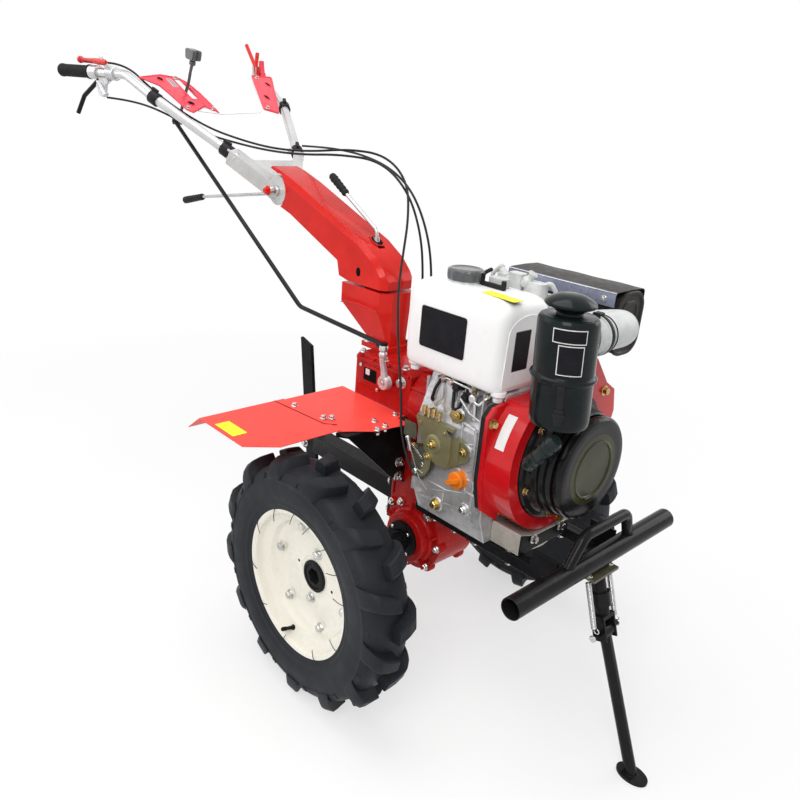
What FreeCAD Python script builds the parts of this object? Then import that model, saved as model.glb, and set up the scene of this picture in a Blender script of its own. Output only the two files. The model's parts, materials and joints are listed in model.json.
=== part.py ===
"""Walk-behind diesel power weeder: a parametric assembly, in millimetres.

Frame of the model: X points forward, Y to the machine's left, Z up.  The ground is Z = 0.
All sketches are drawn from the wheel axle (X = 0 at the axle, Y = 0 in the middle plane) and
each sub-part is then moved forward by AXLE_X, so that the origin lies under the middle of the
whole machine.
"""
import FreeCAD, Part
import Sketcher
import math
import os
from FreeCAD import Placement, Rotation, Vector

doc = FreeCAD.newDocument("power_weeder")

# --------------------------------------------------------------------------------------
# Driving dimensions
# --------------------------------------------------------------------------------------
SIZES = {
    # wheels
    "tyre_radius": 275, "tread_half": 45, "bulge_half": 55, "bulge_radius": 215,
    "bead_radius": 154, "bead_half": 37, "tyre_wall": 9, "tread_thickness": 22,
    "wheel_centre": 350, "flange_radius": 171, "flange_half": 43, "rim_wall": 4,
    "well_radius": 128, "disc_offset": -12, "disc_wall": 5,
    "hub_flange_radius": 78, "hub_flange_wall": 8, "hub_radius": 27, "hub_inner_end": 150,
    "hex_across": 32, "hex_gap": 0.1,
    "axle_inner_end": 48, "axle_outer_end": 250, "journal_radius": 24, "journal_gap": 0.05,
    # gearbox
    "case_half": 58, "case_drum": 85, "case_rear": -86, "case_front": 58, "case_top": 560,
    "bearing_radius": 60, "bearing_face": 88, "cap_radius": 44, "cap_wall": 12,
    "top_half": 80, "top_rear": -214, "top_front": -28, "top_height": 672, "top_floor": 556,
    "crank_height": 593, "bell_rear": -30, "bell_front": 62, "bell_small": 88,
    "bell_large": 116,
    # engine
    "crank_rear": 62, "crank_front": 250, "crank_right": -140, "crank_left": 110,
    "crank_floor": 400, "crank_top": 719.7,
    "head_rear": 78, "head_front": 236, "head_top": 862,
    "shroud_rear": 254, "shroud_front": 322, "shroud_radius": 158, "shroud_arm_y": 172,
    "shroud_arm_top": 782, "shroud_mouth": 132,
    "starter_body": 112, "starter_disc": 104, "starter_front": 399,
    "disc_front_wall": 16,
    "tank_rear": -2, "tank_front": 253.7, "tank_right": -142, "tank_left": 6,
    "tank_floor": 720, "tank_top": 896, "tank_round": 22,
    "cap_x": 88, "cap_y": -72, "tank_cap_radius": 42, "tank_cap_height": 24,
    "cleaner_x": 376, "cleaner_y": -122, "cleaner_radius": 57, "cleaner_floor": 704,
    "cleaner_top": 892, "dome_radius": 48, "dome_height": 50,
    "muffler_rear": 22, "muffler_front": 304, "muffler_right": 150, "muffler_left": 246,
    "muffler_floor": 766, "muffler_top": 896, "shield_right": 138, "shield_low": 870,
    "shield_wall": 2, "elbow_level": 860, "elbow_drop": 38, "elbow_radius": 33,
    "plate_right": -152, "plate_sheet": 3, "sump_front": 328, "sump_low": 402,
    # engine frame and bumper
    "rail_outer": 102, "rail_width": 26, "rail_height": 24, "rail_top": 399.7,
    "rail_rear": 40, "rail_front": 428, "plate_wall": 6,
    "bumper_x": 440, "bumper_z": 420, "bumper_radius": 21, "bumper_wall": 2.5,
    "bumper_half": 265, "loop_half": 112, "loop_height": 72, "loop_radius": 11,
    # stand
    "stand_pin_x": 487, "stand_pin_z": 278, "stand_top_x": 448, "stand_top_z": 388,
    "stand_tube": 15, "stand_leg": 12,
    "foot_x": 606, "foot_length": 66, "foot_width": 44, "foot_wall": 7,
    "stand_pin_radius": 5, "stand_pin_half": 42, "pin_gap": 0.05,
    # column and handlebars
    "column_half": 50, "swivel_x": -245, "split_height": 812, "split_gap": 6,
    "spigot_radius": 30, "spigot_length": 40, "tilt_pin_radius": 8, "tilt_disc_radius": 37,
    "tongue_half": 12, "seat_half": 46, "seat_gap": 5.5,
    "tilt_x": -603, "tilt_z": 984, "bar_radius": 12.5,
    "clamp_low_x": -727, "clamp_low_y": 105, "clamp_low_z": 1061,
    "clamp_high_x": -943, "clamp_high_y": 205, "clamp_high_z": 1179,
    "bend_x": -1060, "bend_y": 226, "bend_z": 1231,
    "grip_end_x": -1313, "grip_end_y": 300, "grip_length": 128,
    "grip_radius": 16.5,
    # fenders
    "fender_height": 570, "fender_wall": 2, "fender_rear": -254, "fender_front": 6,
    "fender_inner": 84, "fender_joint": 277, "fender_outer": 466, "fender_waist": -46,
    "lip_run": 48, "lip_drop": 37,
    # shift linkage
    "knee_x": -1004, "knee_y": -104, "knee_z": 1122, "rod_offset": 12,
    "arm_x": -85, "arm_foot": 636, "arm_top": 709, "rod_end": 718,
    "perch_radius": 18, "panel_wall": 3, "spring_radius": 6, "spring_y": 36,
    # depth bar and hitch
    "depth_x": -466, "depth_z": 229, "depth_width": 45, "depth_wall": 10,
    "depth_above": 383, "depth_below": 120, "depth_slope": 0.131,
    "hitch_arm": 50, "hitch_height": 330,
}

sheet = doc.addObject("Spreadsheet::Sheet", "sizes")
for row, (alias, number) in enumerate(SIZES.items(), start=1):
    cell = "A%d" % row
    sheet.set(cell, str(number))
    sheet.setAlias(cell, alias)
doc.recompute()

# rearmost point (grip ends) and foremost point (stand foot) put the origin in the middle
FRONT_REACH = "(sizes.foot_x + sizes.foot_length / 2)"
GRIP_RUN_X = "(sizes.bend_x - sizes.grip_end_x)"
GRIP_RUN_Y = "(sizes.grip_end_y - sizes.bend_y)"
GRIP_RUN = "sqrt(%s ^ 2 + %s ^ 2)" % (GRIP_RUN_X, GRIP_RUN_Y)
REAR_REACH = "(sizes.grip_end_x - sizes.grip_radius * %s / %s)" % (GRIP_RUN_Y, GRIP_RUN)
AXLE_X = "(0 - (%s + %s) / 2)" % (FRONT_REACH, REAR_REACH)


def size(expression):
    """The number that an expression over the sheet's aliases has now."""
    result = sheet.evalExpression(str(expression).replace("sizes.", ""))
    return float(getattr(result, "Value", result))


# --------------------------------------------------------------------------------------
# Small modelling vocabulary
# --------------------------------------------------------------------------------------
nodes = []
PLANES = {"XY": ("XY_Plane", 1), "XZ": ("XZ_Plane", -1), "YZ": ("YZ_Plane", 1)}


def minus(expression):
    """The expression with its sign turned."""
    return "(0 - (%s))" % expression


def new_body(label):
    """A PartDesign body that becomes one node, moved forward by AXLE_X."""
    body = doc.addObject("PartDesign::Body", label)
    body.Label = label
    body.setExpression("Placement.Base.x", AXLE_X)
    nodes.append(body)
    return body


def new_sketch(body, name, plane, at="0"):
    """A sketch parallel to one of the body's own origin planes, at a station along its axis."""
    role, sign = PLANES[plane]
    support = [item for item in body.Origin.OriginFeatures if item.Role == role][0]
    sketch = body.newObject("Sketcher::SketchObject", name)
    sketch.AttachmentSupport = [(support, "")]
    sketch.MapMode = "FlatFace"
    sketch.setExpression("AttachmentOffset.Base.z", at if sign > 0 else minus(at))
    return sketch


def pin_point(sketch, geometry, point, x, y):
    """Hold one point of a sketch at x, y, both expressions over the sheet."""
    for kind, expression in (("DistanceX", x), ("DistanceY", y)):
        number = Sketcher.Constraint(kind, -1, 1, geometry, point, size(expression))
        index = sketch.addConstraint(number)
        sketch.setExpression("Constraints[%d]" % index, str(expression))


def draw_outline(sketch, points):
    """A closed polygon whose corners are pairs of expressions."""
    corners = [Vector(size(x), size(y), 0) for x, y in points]
    first = sketch.GeometryCount
    count = len(points)
    for i in range(count):
        sketch.addGeometry(Part.LineSegment(corners[i], corners[(i + 1) % count]), False)
    for i in range(count):
        follower = first + (i + 1) % count
        sketch.addConstraint(Sketcher.Constraint("Coincident", first + i, 2, follower, 1))
    for i, (x, y) in enumerate(points):
        pin_point(sketch, first + i, 1, x, y)


def draw_circle(sketch, x, y, radius):
    """A circle with its centre and radius bound to expressions."""
    centre = Vector(size(x), size(y), 0)
    geometry = sketch.addGeometry(Part.Circle(centre, Vector(0, 0, 1), size(radius)), False)
    pin_point(sketch, geometry, 3, x, y)
    index = sketch.addConstraint(Sketcher.Constraint("Radius", geometry, size(radius)))
    sketch.setExpression("Constraints[%d]" % index, str(radius))


def finish_prism(body, sketch, kind, low, high):
    """Pad or pocket a sketch evenly to both sides of its own station."""
    feature = body.newObject(kind, sketch.Name + ("_pad" if kind.endswith("Pad") else "_cut"))
    feature.Profile = sketch
    feature.SideType = "Symmetric"
    feature.setExpression("Length", "(%s) - (%s)" % (high, low))
    return feature


def middle(low, high):
    """The expression half way between two others."""
    return "((%s) + (%s)) / 2" % (low, high)


def slab(body, name, plane, points, low, high):
    """A prism of an outline between two stations along the plane's axis."""
    sketch = new_sketch(body, name, plane, middle(low, high))
    draw_outline(sketch, points)
    return finish_prism(body, sketch, "PartDesign::Pad", low, high)


def notch(body, name, plane, points, low, high):
    """A prism cut out of the body."""
    sketch = new_sketch(body, name, plane, middle(low, high))
    draw_outline(sketch, points)
    return finish_prism(body, sketch, "PartDesign::Pocket", low, high)


def disc(body, name, plane, x, y, radius, low, high):
    """A round boss between two stations."""
    sketch = new_sketch(body, name, plane, middle(low, high))
    draw_circle(sketch, x, y, radius)
    return finish_prism(body, sketch, "PartDesign::Pad", low, high)


def drill(body, name, plane, x, y, radius, low, high):
    """A round hole between two stations."""
    sketch = new_sketch(body, name, plane, middle(low, high))
    draw_circle(sketch, x, y, radius)
    return finish_prism(body, sketch, "PartDesign::Pocket", low, high)


def spin(body, name, plane, points, axis="V_Axis", at="0"):
    """A solid of revolution of an outline about a sketch axis."""
    sketch = new_sketch(body, name, plane, at)
    draw_outline(sketch, points)
    feature = body.newObject("PartDesign::Revolution", name + "_turn")
    feature.Profile = sketch
    feature.ReferenceAxis = (sketch, [axis])
    feature.Angle = 360
    return feature


def place(body, x, y, z, rotation=None):
    """Move a body that is drawn about its own centre to its place on the machine."""
    if rotation is not None:
        body.Placement = Placement(Vector(0, 0, 0), rotation)
    for axis, expression in (("x", "%s + (%s)" % (AXLE_X, x)), ("y", y), ("z", z)):
        body.setExpression("Placement.Base.%s" % axis, str(expression))


def hexagon(across):
    """Corners of a hexagon with the given distance across its flats."""
    corners = []
    for step in range(6):
        angle = math.radians(60 * step)
        reach = "(%s) / %.9f" % (across, math.sqrt(3))
        corners.append(("%s * %.9f" % (reach, math.cos(angle)),
                        "%s * %.9f" % (reach, math.sin(angle))))
    return corners


def soften(body, name, kind, amount, test):
    """Round or chamfer the edges of a body whose middle point passes a test."""
    doc.recompute()
    base = body.Tip
    names = []
    for i, edge in enumerate(base.Shape.Edges, start=1):
        if test(edge.valueAt((edge.FirstParameter + edge.LastParameter) / 2)):
            names.append("Edge%d" % i)
    feature = body.newObject("PartDesign::" + kind, name)
    feature.Base = (base, names)
    feature.setExpression("Radius" if kind == "Fillet" else "Size", amount)
    return feature


def taper(body, name, plane, first, first_at, second, second_at):
    """A solid that runs straight from one outline to another."""
    near = new_sketch(body, name + "_near", plane, first_at)
    draw_outline(near, first)
    far = new_sketch(body, name + "_far", plane, second_at)
    draw_outline(far, second)
    feature = body.newObject("PartDesign::AdditiveLoft", name)
    feature.Profile = near
    feature.Sections = [far]
    feature.Ruled = True
    return feature


def box_outline(x_low, x_high, y_low, y_high):
    """Corners of a rectangle."""
    return [(x_low, y_low), (x_high, y_low), (x_high, y_high), (x_low, y_high)]


def new_feature(label, shape):
    """A node whose shape is made with Part's own functions, moved forward by AXLE_X."""
    feature = doc.addObject("Part::Feature", label)
    feature.Label = label
    feature.Shape = shape
    feature.Placement = Placement(Vector(size(AXLE_X), 0, 0), Rotation())
    nodes.append(feature)
    return feature


def bent_path(points, radii):
    """Straight runs joined by tangent arcs, one radius for each inner point."""
    points = [Vector(*point) for point in points]
    edges = []
    start = points[0]
    for i in range(1, len(points) - 1):
        before = (points[i - 1] - points[i]).normalize()
        after = (points[i + 1] - points[i]).normalize()
        half_turn = (math.pi - before.getAngle(after)) / 2
        reach = radii[i - 1] * math.tan(half_turn)
        inner = (before + after).normalize()
        centre = points[i] + inner * (radii[i - 1] / math.cos(half_turn))
        arc_start = points[i] + before * reach
        arc_end = points[i] + after * reach
        arc_middle = centre - inner * radii[i - 1]
        edges.append(Part.LineSegment(start, arc_start).toShape())
        edges.append(Part.Arc(arc_start, arc_middle, arc_end).toShape())
        start = arc_end
    edges.append(Part.LineSegment(start, points[-1]).toShape())
    return Part.Wire(edges)


def round_bar(points, radii, radius):
    """A round bar along a bent path."""
    path = bent_path(points, radii)
    direction = Vector(*points[1]) - Vector(*points[0])
    profile = Part.Wire([Part.Circle(Vector(*points[0]), direction, radius).toShape()])
    return path.makePipeShell([profile], True, False)


def straight_bar(start, end, radius):
    """A round bar between two points."""
    start = Vector(*start)
    direction = Vector(*end) - start
    return Part.makeCylinder(radius, direction.Length, start, direction)


# --------------------------------------------------------------------------------------
# Wheels: drawn about their own axis (local Z points outwards), one set for each side
# --------------------------------------------------------------------------------------
SIDES = {"right": -1, "left": 1}


def wheel_pose(body, side):
    """Turn a wheel piece so that its local Z points outwards on its side of the machine."""
    turn = Rotation(Vector(1, 0, 0), 90 if side == "right" else -90)
    place(body, "0", "0", "sizes.tyre_radius", turn)


def make_tyre(side):
    """Hollow agricultural tyre: crowned tread, round sidewalls, beads in the rim."""
    body = new_body("tyre_" + side)
    mid = "sizes.wheel_centre"

    def rim_point(radius, across):
        return (radius, "%s + (%s)" % (mid, across))

    outer = [
        rim_point("sizes.bead_radius", "sizes.bead_half"),
        rim_point("sizes.flange_radius + 1", "sizes.flange_half - 4"),
        rim_point("sizes.flange_radius + 10", "sizes.flange_half + 5"),
        rim_point("sizes.bulge_radius", "sizes.bulge_half"),
        rim_point("sizes.tyre_radius - 22", "sizes.bulge_half - 3"),
        rim_point("sizes.tyre_radius - 4", "sizes.tread_half"),
        rim_point("sizes.tyre_radius", "sizes.tread_half / 2"),
    ]
    inner = [
        rim_point("sizes.tyre_radius - sizes.tread_thickness", "sizes.tread_half - 12"),
        rim_point("sizes.bulge_radius", "sizes.bulge_half - sizes.tyre_wall"),
        rim_point("sizes.flange_radius + 1", "sizes.bead_half - 5"),
        rim_point("sizes.bead_radius", "sizes.bead_half - 6"),
    ]
    far = [(x, y.replace("+ (", "- (", 1)) for x, y in outer]
    near = [(x, y.replace("+ (", "- (", 1)) for x, y in inner]
    points = outer + far[::-1] + near[::-1] + inner
    spin(body, "tyre_section", "XZ", points)
    wheel_pose(body, side)


def make_rim(side):
    """Drop-centre rim with a dished disc and a hub opening."""
    body = new_body("rim_" + side)
    mid = "sizes.wheel_centre"
    seat = "sizes.bead_radius"
    wall = "sizes.rim_wall"
    well = "sizes.well_radius"
    half = "sizes.flange_half"
    points = [
        ("sizes.flange_radius", "%s + %s" % (mid, half)),
        ("sizes.flange_radius - 5", "%s + %s + 4" % (mid, half)),
        (seat + " - 6", "%s + %s + 2" % (mid, half)),
        (seat + " - " + wall, "%s + 26" % mid),
        (well + " - " + wall, "%s + 16" % mid),
        (well + " - " + wall, "%s - 18" % mid),
        (seat + " - " + wall, "%s - 28" % mid),
        (seat + " - 6", "%s - %s - 2" % (mid, half)),
        ("sizes.flange_radius - 5", "%s - %s - 4" % (mid, half)),
        ("sizes.flange_radius", "%s - %s" % (mid, half)),
        (seat + " - 0.3", "%s - %s + 3" % (mid, half)),
        (seat + " - 0.3", "%s - 24" % mid),
        (well, "%s - 15" % mid),
        (well, "%s + 13" % mid),
        (seat + " - 0.3", "%s + 22" % mid),
        (seat + " - 0.3", "%s + %s - 3" % (mid, half)),
    ]
    spin(body, "rim_section", "XZ", points)
    disc_points = [
        (well + " - 2", "%s - 2" % mid),
        (well + " - 2", "%s - 2 + sizes.disc_wall" % mid),
        (well + " - 22", "%s + sizes.disc_offset + sizes.disc_wall" % mid),
        ("sizes.hub_radius + 0.1", "%s + sizes.disc_offset + sizes.disc_wall" % mid),
        ("sizes.hub_radius + 0.1", "%s + sizes.disc_offset" % mid),
        (well + " - 24", "%s + sizes.disc_offset" % mid),
    ]
    spin(body, "disc_section", "XZ", disc_points)
    wheel_pose(body, side)


def make_hub(side):
    """Sleeve that slides on the hexagonal axle, with the flange that the disc bolts to."""
    body = new_body("hub_" + side)
    back = "sizes.wheel_centre + sizes.disc_offset - sizes.hub_flange_wall"
    face = "sizes.wheel_centre + sizes.disc_offset"
    disc(body, "sleeve", "XY", "0", "0", "sizes.hub_radius", "sizes.hub_inner_end",
         "%s + sizes.disc_wall + 4" % face)
    disc(body, "flange", "XY", "0", "0", "sizes.hub_flange_radius", back, face)
    notch(body, "hex_bore", "XY", hexagon("sizes.hex_across + 2 * sizes.hex_gap"),
          "sizes.hub_inner_end - 1", "%s + sizes.disc_wall + 5" % face)
    wheel_pose(body, side)


def make_axle(side):
    """Half axle: round journal in the gearbox, hexagon in the hub."""
    body = new_body("axle_" + side)
    disc(body, "journal", "XY", "0", "0", "sizes.journal_radius", "sizes.axle_inner_end",
         "sizes.bearing_face + sizes.cap_wall + 6")
    slab(body, "hexagon", "XY", hexagon("sizes.hex_across"),
         "sizes.bearing_face + sizes.cap_wall + 6", "sizes.axle_outer_end")
    wheel_pose(body, side)


# --------------------------------------------------------------------------------------
# Gearbox, drawn in the machine's own X, Y, Z
# --------------------------------------------------------------------------------------
def make_gearbox_case():
    """Cast final drive: an oval drum round the axle that rises to the gearbox."""
    body = new_body("gearbox_case")
    half = "sizes.case_half"
    axle = "sizes.tyre_radius"
    disc(body, "drum", "XZ", "0", axle, "sizes.case_drum", minus(half), half)
    tower = [
        ("sizes.case_rear", axle),
        ("0 - sizes.case_drum * 0.8", "%s - sizes.case_drum * 0.5" % axle),
        ("sizes.case_drum * 0.8", "%s - sizes.case_drum * 0.5" % axle),
        ("sizes.case_drum - 1", axle),
        ("sizes.case_front", "%s + 90" % axle),
        ("sizes.case_front", "sizes.crank_height - sizes.bell_large - 6"),
        ("sizes.bell_rear", "sizes.crank_height - sizes.bell_large - 6"),
        ("sizes.bell_rear", "sizes.case_top"),
        ("sizes.case_rear", "sizes.case_top"),
    ]
    slab(body, "tower", "XZ", tower, minus(half), half)
    face = "sizes.bearing_face"
    disc(body, "bearing_boss", "XZ", "0", axle, "sizes.bearing_radius", minus(face), face)
    drill(body, "axle_bore", "XZ", "0", axle, "sizes.journal_radius + sizes.journal_gap",
          minus(face + " + 1"), face + " + 1")
    return body


def make_bearing_caps():
    """Black cap round each half axle, bolted to the bearing boss."""
    face = size("sizes.bearing_face")
    wall = size("sizes.cap_wall")
    bore = size("sizes.journal_radius + sizes.journal_gap")
    caps = []
    for sign in SIDES.values():
        start = Vector(0, sign * face, size("sizes.tyre_radius"))
        out = Vector(0, sign, 0)
        ring = Part.makeCylinder(size("sizes.cap_radius"), wall, start, out)
        caps.append(ring.cut(Part.makeCylinder(bore, wall, start, out)))
    new_feature("bearing_caps", Part.makeCompound(caps))


def make_gearbox_top():
    """Shift housing on top of the case, with the clutch shaft's tunnel in front."""
    body = new_body("gearbox_top")
    half = "sizes.top_half"
    points = [
        ("sizes.top_rear", "sizes.top_floor"),
        ("sizes.top_front", "sizes.top_floor"),
        ("sizes.top_front", "sizes.top_height - 14"),
        ("sizes.top_front - 16", "sizes.top_height"),
        ("sizes.top_rear + 10", "sizes.top_height"),
        ("sizes.top_rear", "sizes.top_height - 10"),
    ]
    slab(body, "housing", "XZ", points, minus(half), half)
    notch(body, "case_seat", "XZ",
          box_outline("sizes.case_rear - 0.2", "sizes.top_front + 1",
                      "sizes.top_floor - 1", "sizes.case_top + 0.2"),
          minus("sizes.case_half + 0.2"), "sizes.case_half + 0.2")
    return body


def make_clutch_housing():
    """Bell between the gearbox and the engine, turned about the crankshaft."""
    body = new_body("clutch_housing")
    points = [
        ("sizes.bell_rear + 2.2", "0"),
        ("sizes.bell_rear + 2.2", "sizes.bell_small"),
        ("sizes.bell_front - 14", "sizes.bell_large - 8"),
        ("sizes.bell_front - 10", "sizes.bell_large"),
        ("sizes.bell_front - 0.3", "sizes.bell_large"),
        ("sizes.bell_front - 0.3", "0"),
    ]
    spin(body, "bell", "XZ", points, "H_Axis")
    place(body, "0", "0", "sizes.crank_height")


# --------------------------------------------------------------------------------------
# Fenders
# --------------------------------------------------------------------------------------
def signed(side, expression):
    """A distance from the middle plane, on the given side."""
    return minus(expression) if side == "right" else "(%s)" % expression


def lip_outline(low, thick, top):
    """Side view of a rear lip that folds down and back from the fender's rear edge."""
    rear = "sizes.fender_rear"
    far = rear + " - sizes.lip_run"
    return [
        (rear + " + 2", low),
        (rear, low),
        (far, "%s - sizes.lip_drop" % low),
        (far, "%s - sizes.lip_drop + %s" % (low, thick)),
        (rear, "%s + %s" % (low, thick)),
        (rear + " + 2", top),
    ]


def make_fenders():
    """Inner fender sheets and the outer ones that lie on them; all turn down at the rear."""
    low = "sizes.fender_height - sizes.fender_wall"
    high = "sizes.fender_height"
    top = high + " + sizes.fender_wall"
    inner = new_body("fenders")
    outer = new_body("fender_tips")
    for side in SIDES:
        points = [
            ("sizes.fender_rear", signed(side, "sizes.fender_inner")),
            ("sizes.bell_rear - 4", signed(side, "sizes.fender_inner")),
            ("sizes.bell_rear - 4", signed(side, "sizes.fender_inner + 22")),
            ("sizes.fender_front", signed(side, "sizes.fender_inner + 22")),
            ("sizes.fender_front - 12", signed(side, "sizes.fender_inner + 112")),
            ("sizes.fender_front - 38", signed(side, "sizes.fender_inner + 152")),
            ("sizes.fender_waist", signed(side, "sizes.fender_inner + 178")),
            ("sizes.fender_waist", signed(side, "sizes.fender_joint - 14")),
            ("sizes.fender_waist - 47", signed(side, "sizes.fender_joint - 14")),
            ("sizes.fender_waist - 62", signed(side, "sizes.fender_joint")),
            ("sizes.fender_rear", signed(side, "sizes.fender_joint")),
        ]
        span = [signed(side, "sizes.fender_inner"), signed(side, "sizes.fender_joint")]
        slab(inner, "sheet_" + side, "XY", points, low, high)
        slab(inner, "lip_" + side, "XZ", lip_outline(low, "sizes.fender_wall", high),
             min(span, key=size), max(span, key=size))
        points = [
            ("sizes.fender_rear", signed(side, "sizes.fender_joint - 22")),
            ("sizes.fender_waist", signed(side, "sizes.fender_joint - 22")),
            ("sizes.fender_waist", signed(side, "sizes.fender_outer - 60")),
            ("sizes.fender_waist - 42", signed(side, "sizes.fender_outer")),
            ("sizes.fender_rear", signed(side, "sizes.fender_outer")),
        ]
        span = [signed(side, "sizes.fender_joint - 22"), signed(side, "sizes.fender_outer")]
        slab(outer, "tip_" + side, "XY", points, high, top)
        slab(outer, "tip_lip_" + side, "XZ", lip_outline(high, "sizes.fender_wall", top),
             min(span, key=size), max(span, key=size))


def make_fender_brackets():
    """Gusset angle under each fender, bolted to the gearbox case."""
    body = new_body("fender_brackets")
    case = "sizes.case_half + 0.1"
    top = "sizes.fender_height - sizes.fender_wall - 0.1"
    for side in SIDES:
        points = [
            (signed(side, case), "sizes.crank_height - 190"),
            (signed(side, case + " + 6"), "sizes.crank_height - 190"),
            (signed(side, case + " + 96"), "%s - 46" % top),
            (signed(side, case + " + 96"), top),
            (signed(side, "sizes.top_half + 0.3"), top),
            (signed(side, "sizes.top_half + 0.3"), "sizes.top_floor - 0.3"),
            (signed(side, case), "sizes.top_floor - 0.3"),
        ]
        slab(body, "gusset_" + side, "YZ", points, "sizes.case_rear + 30", "sizes.case_rear + 36")
    return body


# --------------------------------------------------------------------------------------
# Hitch and depth bar
# --------------------------------------------------------------------------------------
def make_hitch():
    """Hitch arm behind the gearbox with the guide that the depth bar slides in."""
    body = new_body("hitch_bracket")
    half = "sizes.hitch_arm / 2"
    end = "sizes.depth_x + sizes.depth_width / 2 + 4"
    slab(body, "arm", "YZ", box_outline(minus(half), half, "sizes.hitch_height - 25",
                                        "sizes.hitch_height + 25"),
         end, "sizes.case_rear - 10")
    slab(body, "flange", "YZ", box_outline(minus("sizes.case_half - 4"),
                                           "sizes.case_half - 4", "sizes.hitch_height - 52",
                                           "sizes.hitch_height + 52"),
         "sizes.case_rear - 12", "sizes.case_rear - 0.1")
    reach = "sizes.depth_width / 2 + 9"
    wall = "sizes.depth_wall / 2 + 9"
    slab(body, "guide", "XY", box_outline("sizes.depth_x - (%s)" % reach,
                                          "sizes.depth_x + " + reach, minus(wall), wall),
         "sizes.hitch_height - 35", "sizes.hitch_height + 35")
    low = "(sizes.hitch_height - 36)"
    high = "(sizes.hitch_height + 36)"
    reach = "(sizes.depth_width / 2 + 0.3) * sqrt(1 + sizes.depth_slope ^ 2)"
    slot = []
    for level, sign in ((low, "-"), (low, "+"), (high, "+"), (high, "-")):
        centre = "sizes.depth_x - sizes.depth_slope * (%s - sizes.depth_z)" % level
        slot.append(("%s %s %s" % (centre, sign, reach), level))
    wall = "sizes.depth_wall / 2 + 0.3"
    notch(body, "slot", "XZ", slot, minus(wall), wall)
    return body


def make_depth_bar():
    """Flat bar with a slanted top that leans back a little in its bracket."""
    body = new_body("depth_bar")
    half = "sizes.depth_width / 2"
    points = [
        (minus(half), "0 - sizes.depth_below"),
        (half, "0 - sizes.depth_below"),
        (half, "sizes.depth_above - 20"),
        (minus(half), "sizes.depth_above"),
    ]
    wall = "sizes.depth_wall / 2"
    slab(body, "bar", "XZ", points, minus(wall), wall)
    lean = math.degrees(math.atan(size("sizes.depth_slope")))
    place(body, "sizes.depth_x", "0", "sizes.depth_z", Rotation(Vector(0, 1, 0), -lean))
    return body


# --------------------------------------------------------------------------------------
# Column and handlebars
# --------------------------------------------------------------------------------------
def make_column_lower():
    """Faceted casting on the gearbox that carries the swivelling column."""
    body = new_body("column_lower")
    split = "sizes.split_height - sizes.split_gap / 2"
    half = "sizes.column_half"
    rear = "sizes.swivel_x - 73"
    front = "sizes.swivel_x + 84"
    head = [
        (rear, minus(half)),
        (front + " - 22", minus(half)),
        (front, minus(half + " - 22")),
        (front, half + " - 22"),
        (front + " - 22", half),
        (rear, half),
    ]
    foot_rear = "sizes.swivel_x + 20"
    foot = [
        (foot_rear, "0 - 30"),
        (front + " - 6", "0 - 30"),
        (front + " - 2", "0 - 24"),
        (front + " - 2", "24"),
        (front + " - 6", "30"),
        (foot_rear, "30"),
    ]
    slab(body, "head", "XY", head, split + " - 46", split)
    taper(body, "neck", "XY", head, split + " - 46", foot, "sizes.top_height + 12")
    base = box_outline(foot_rear + " - 14", front + " + 8", "0 - 46", "46")
    slab(body, "base", "XY", base, "sizes.top_height", "sizes.top_height + 12")
    drill(body, "spigot_bore", "XY", "sizes.swivel_x", "0", "sizes.spigot_radius + sizes.pin_gap",
          "sizes.split_height - sizes.spigot_length", "sizes.split_height + 1")
    return body


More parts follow.
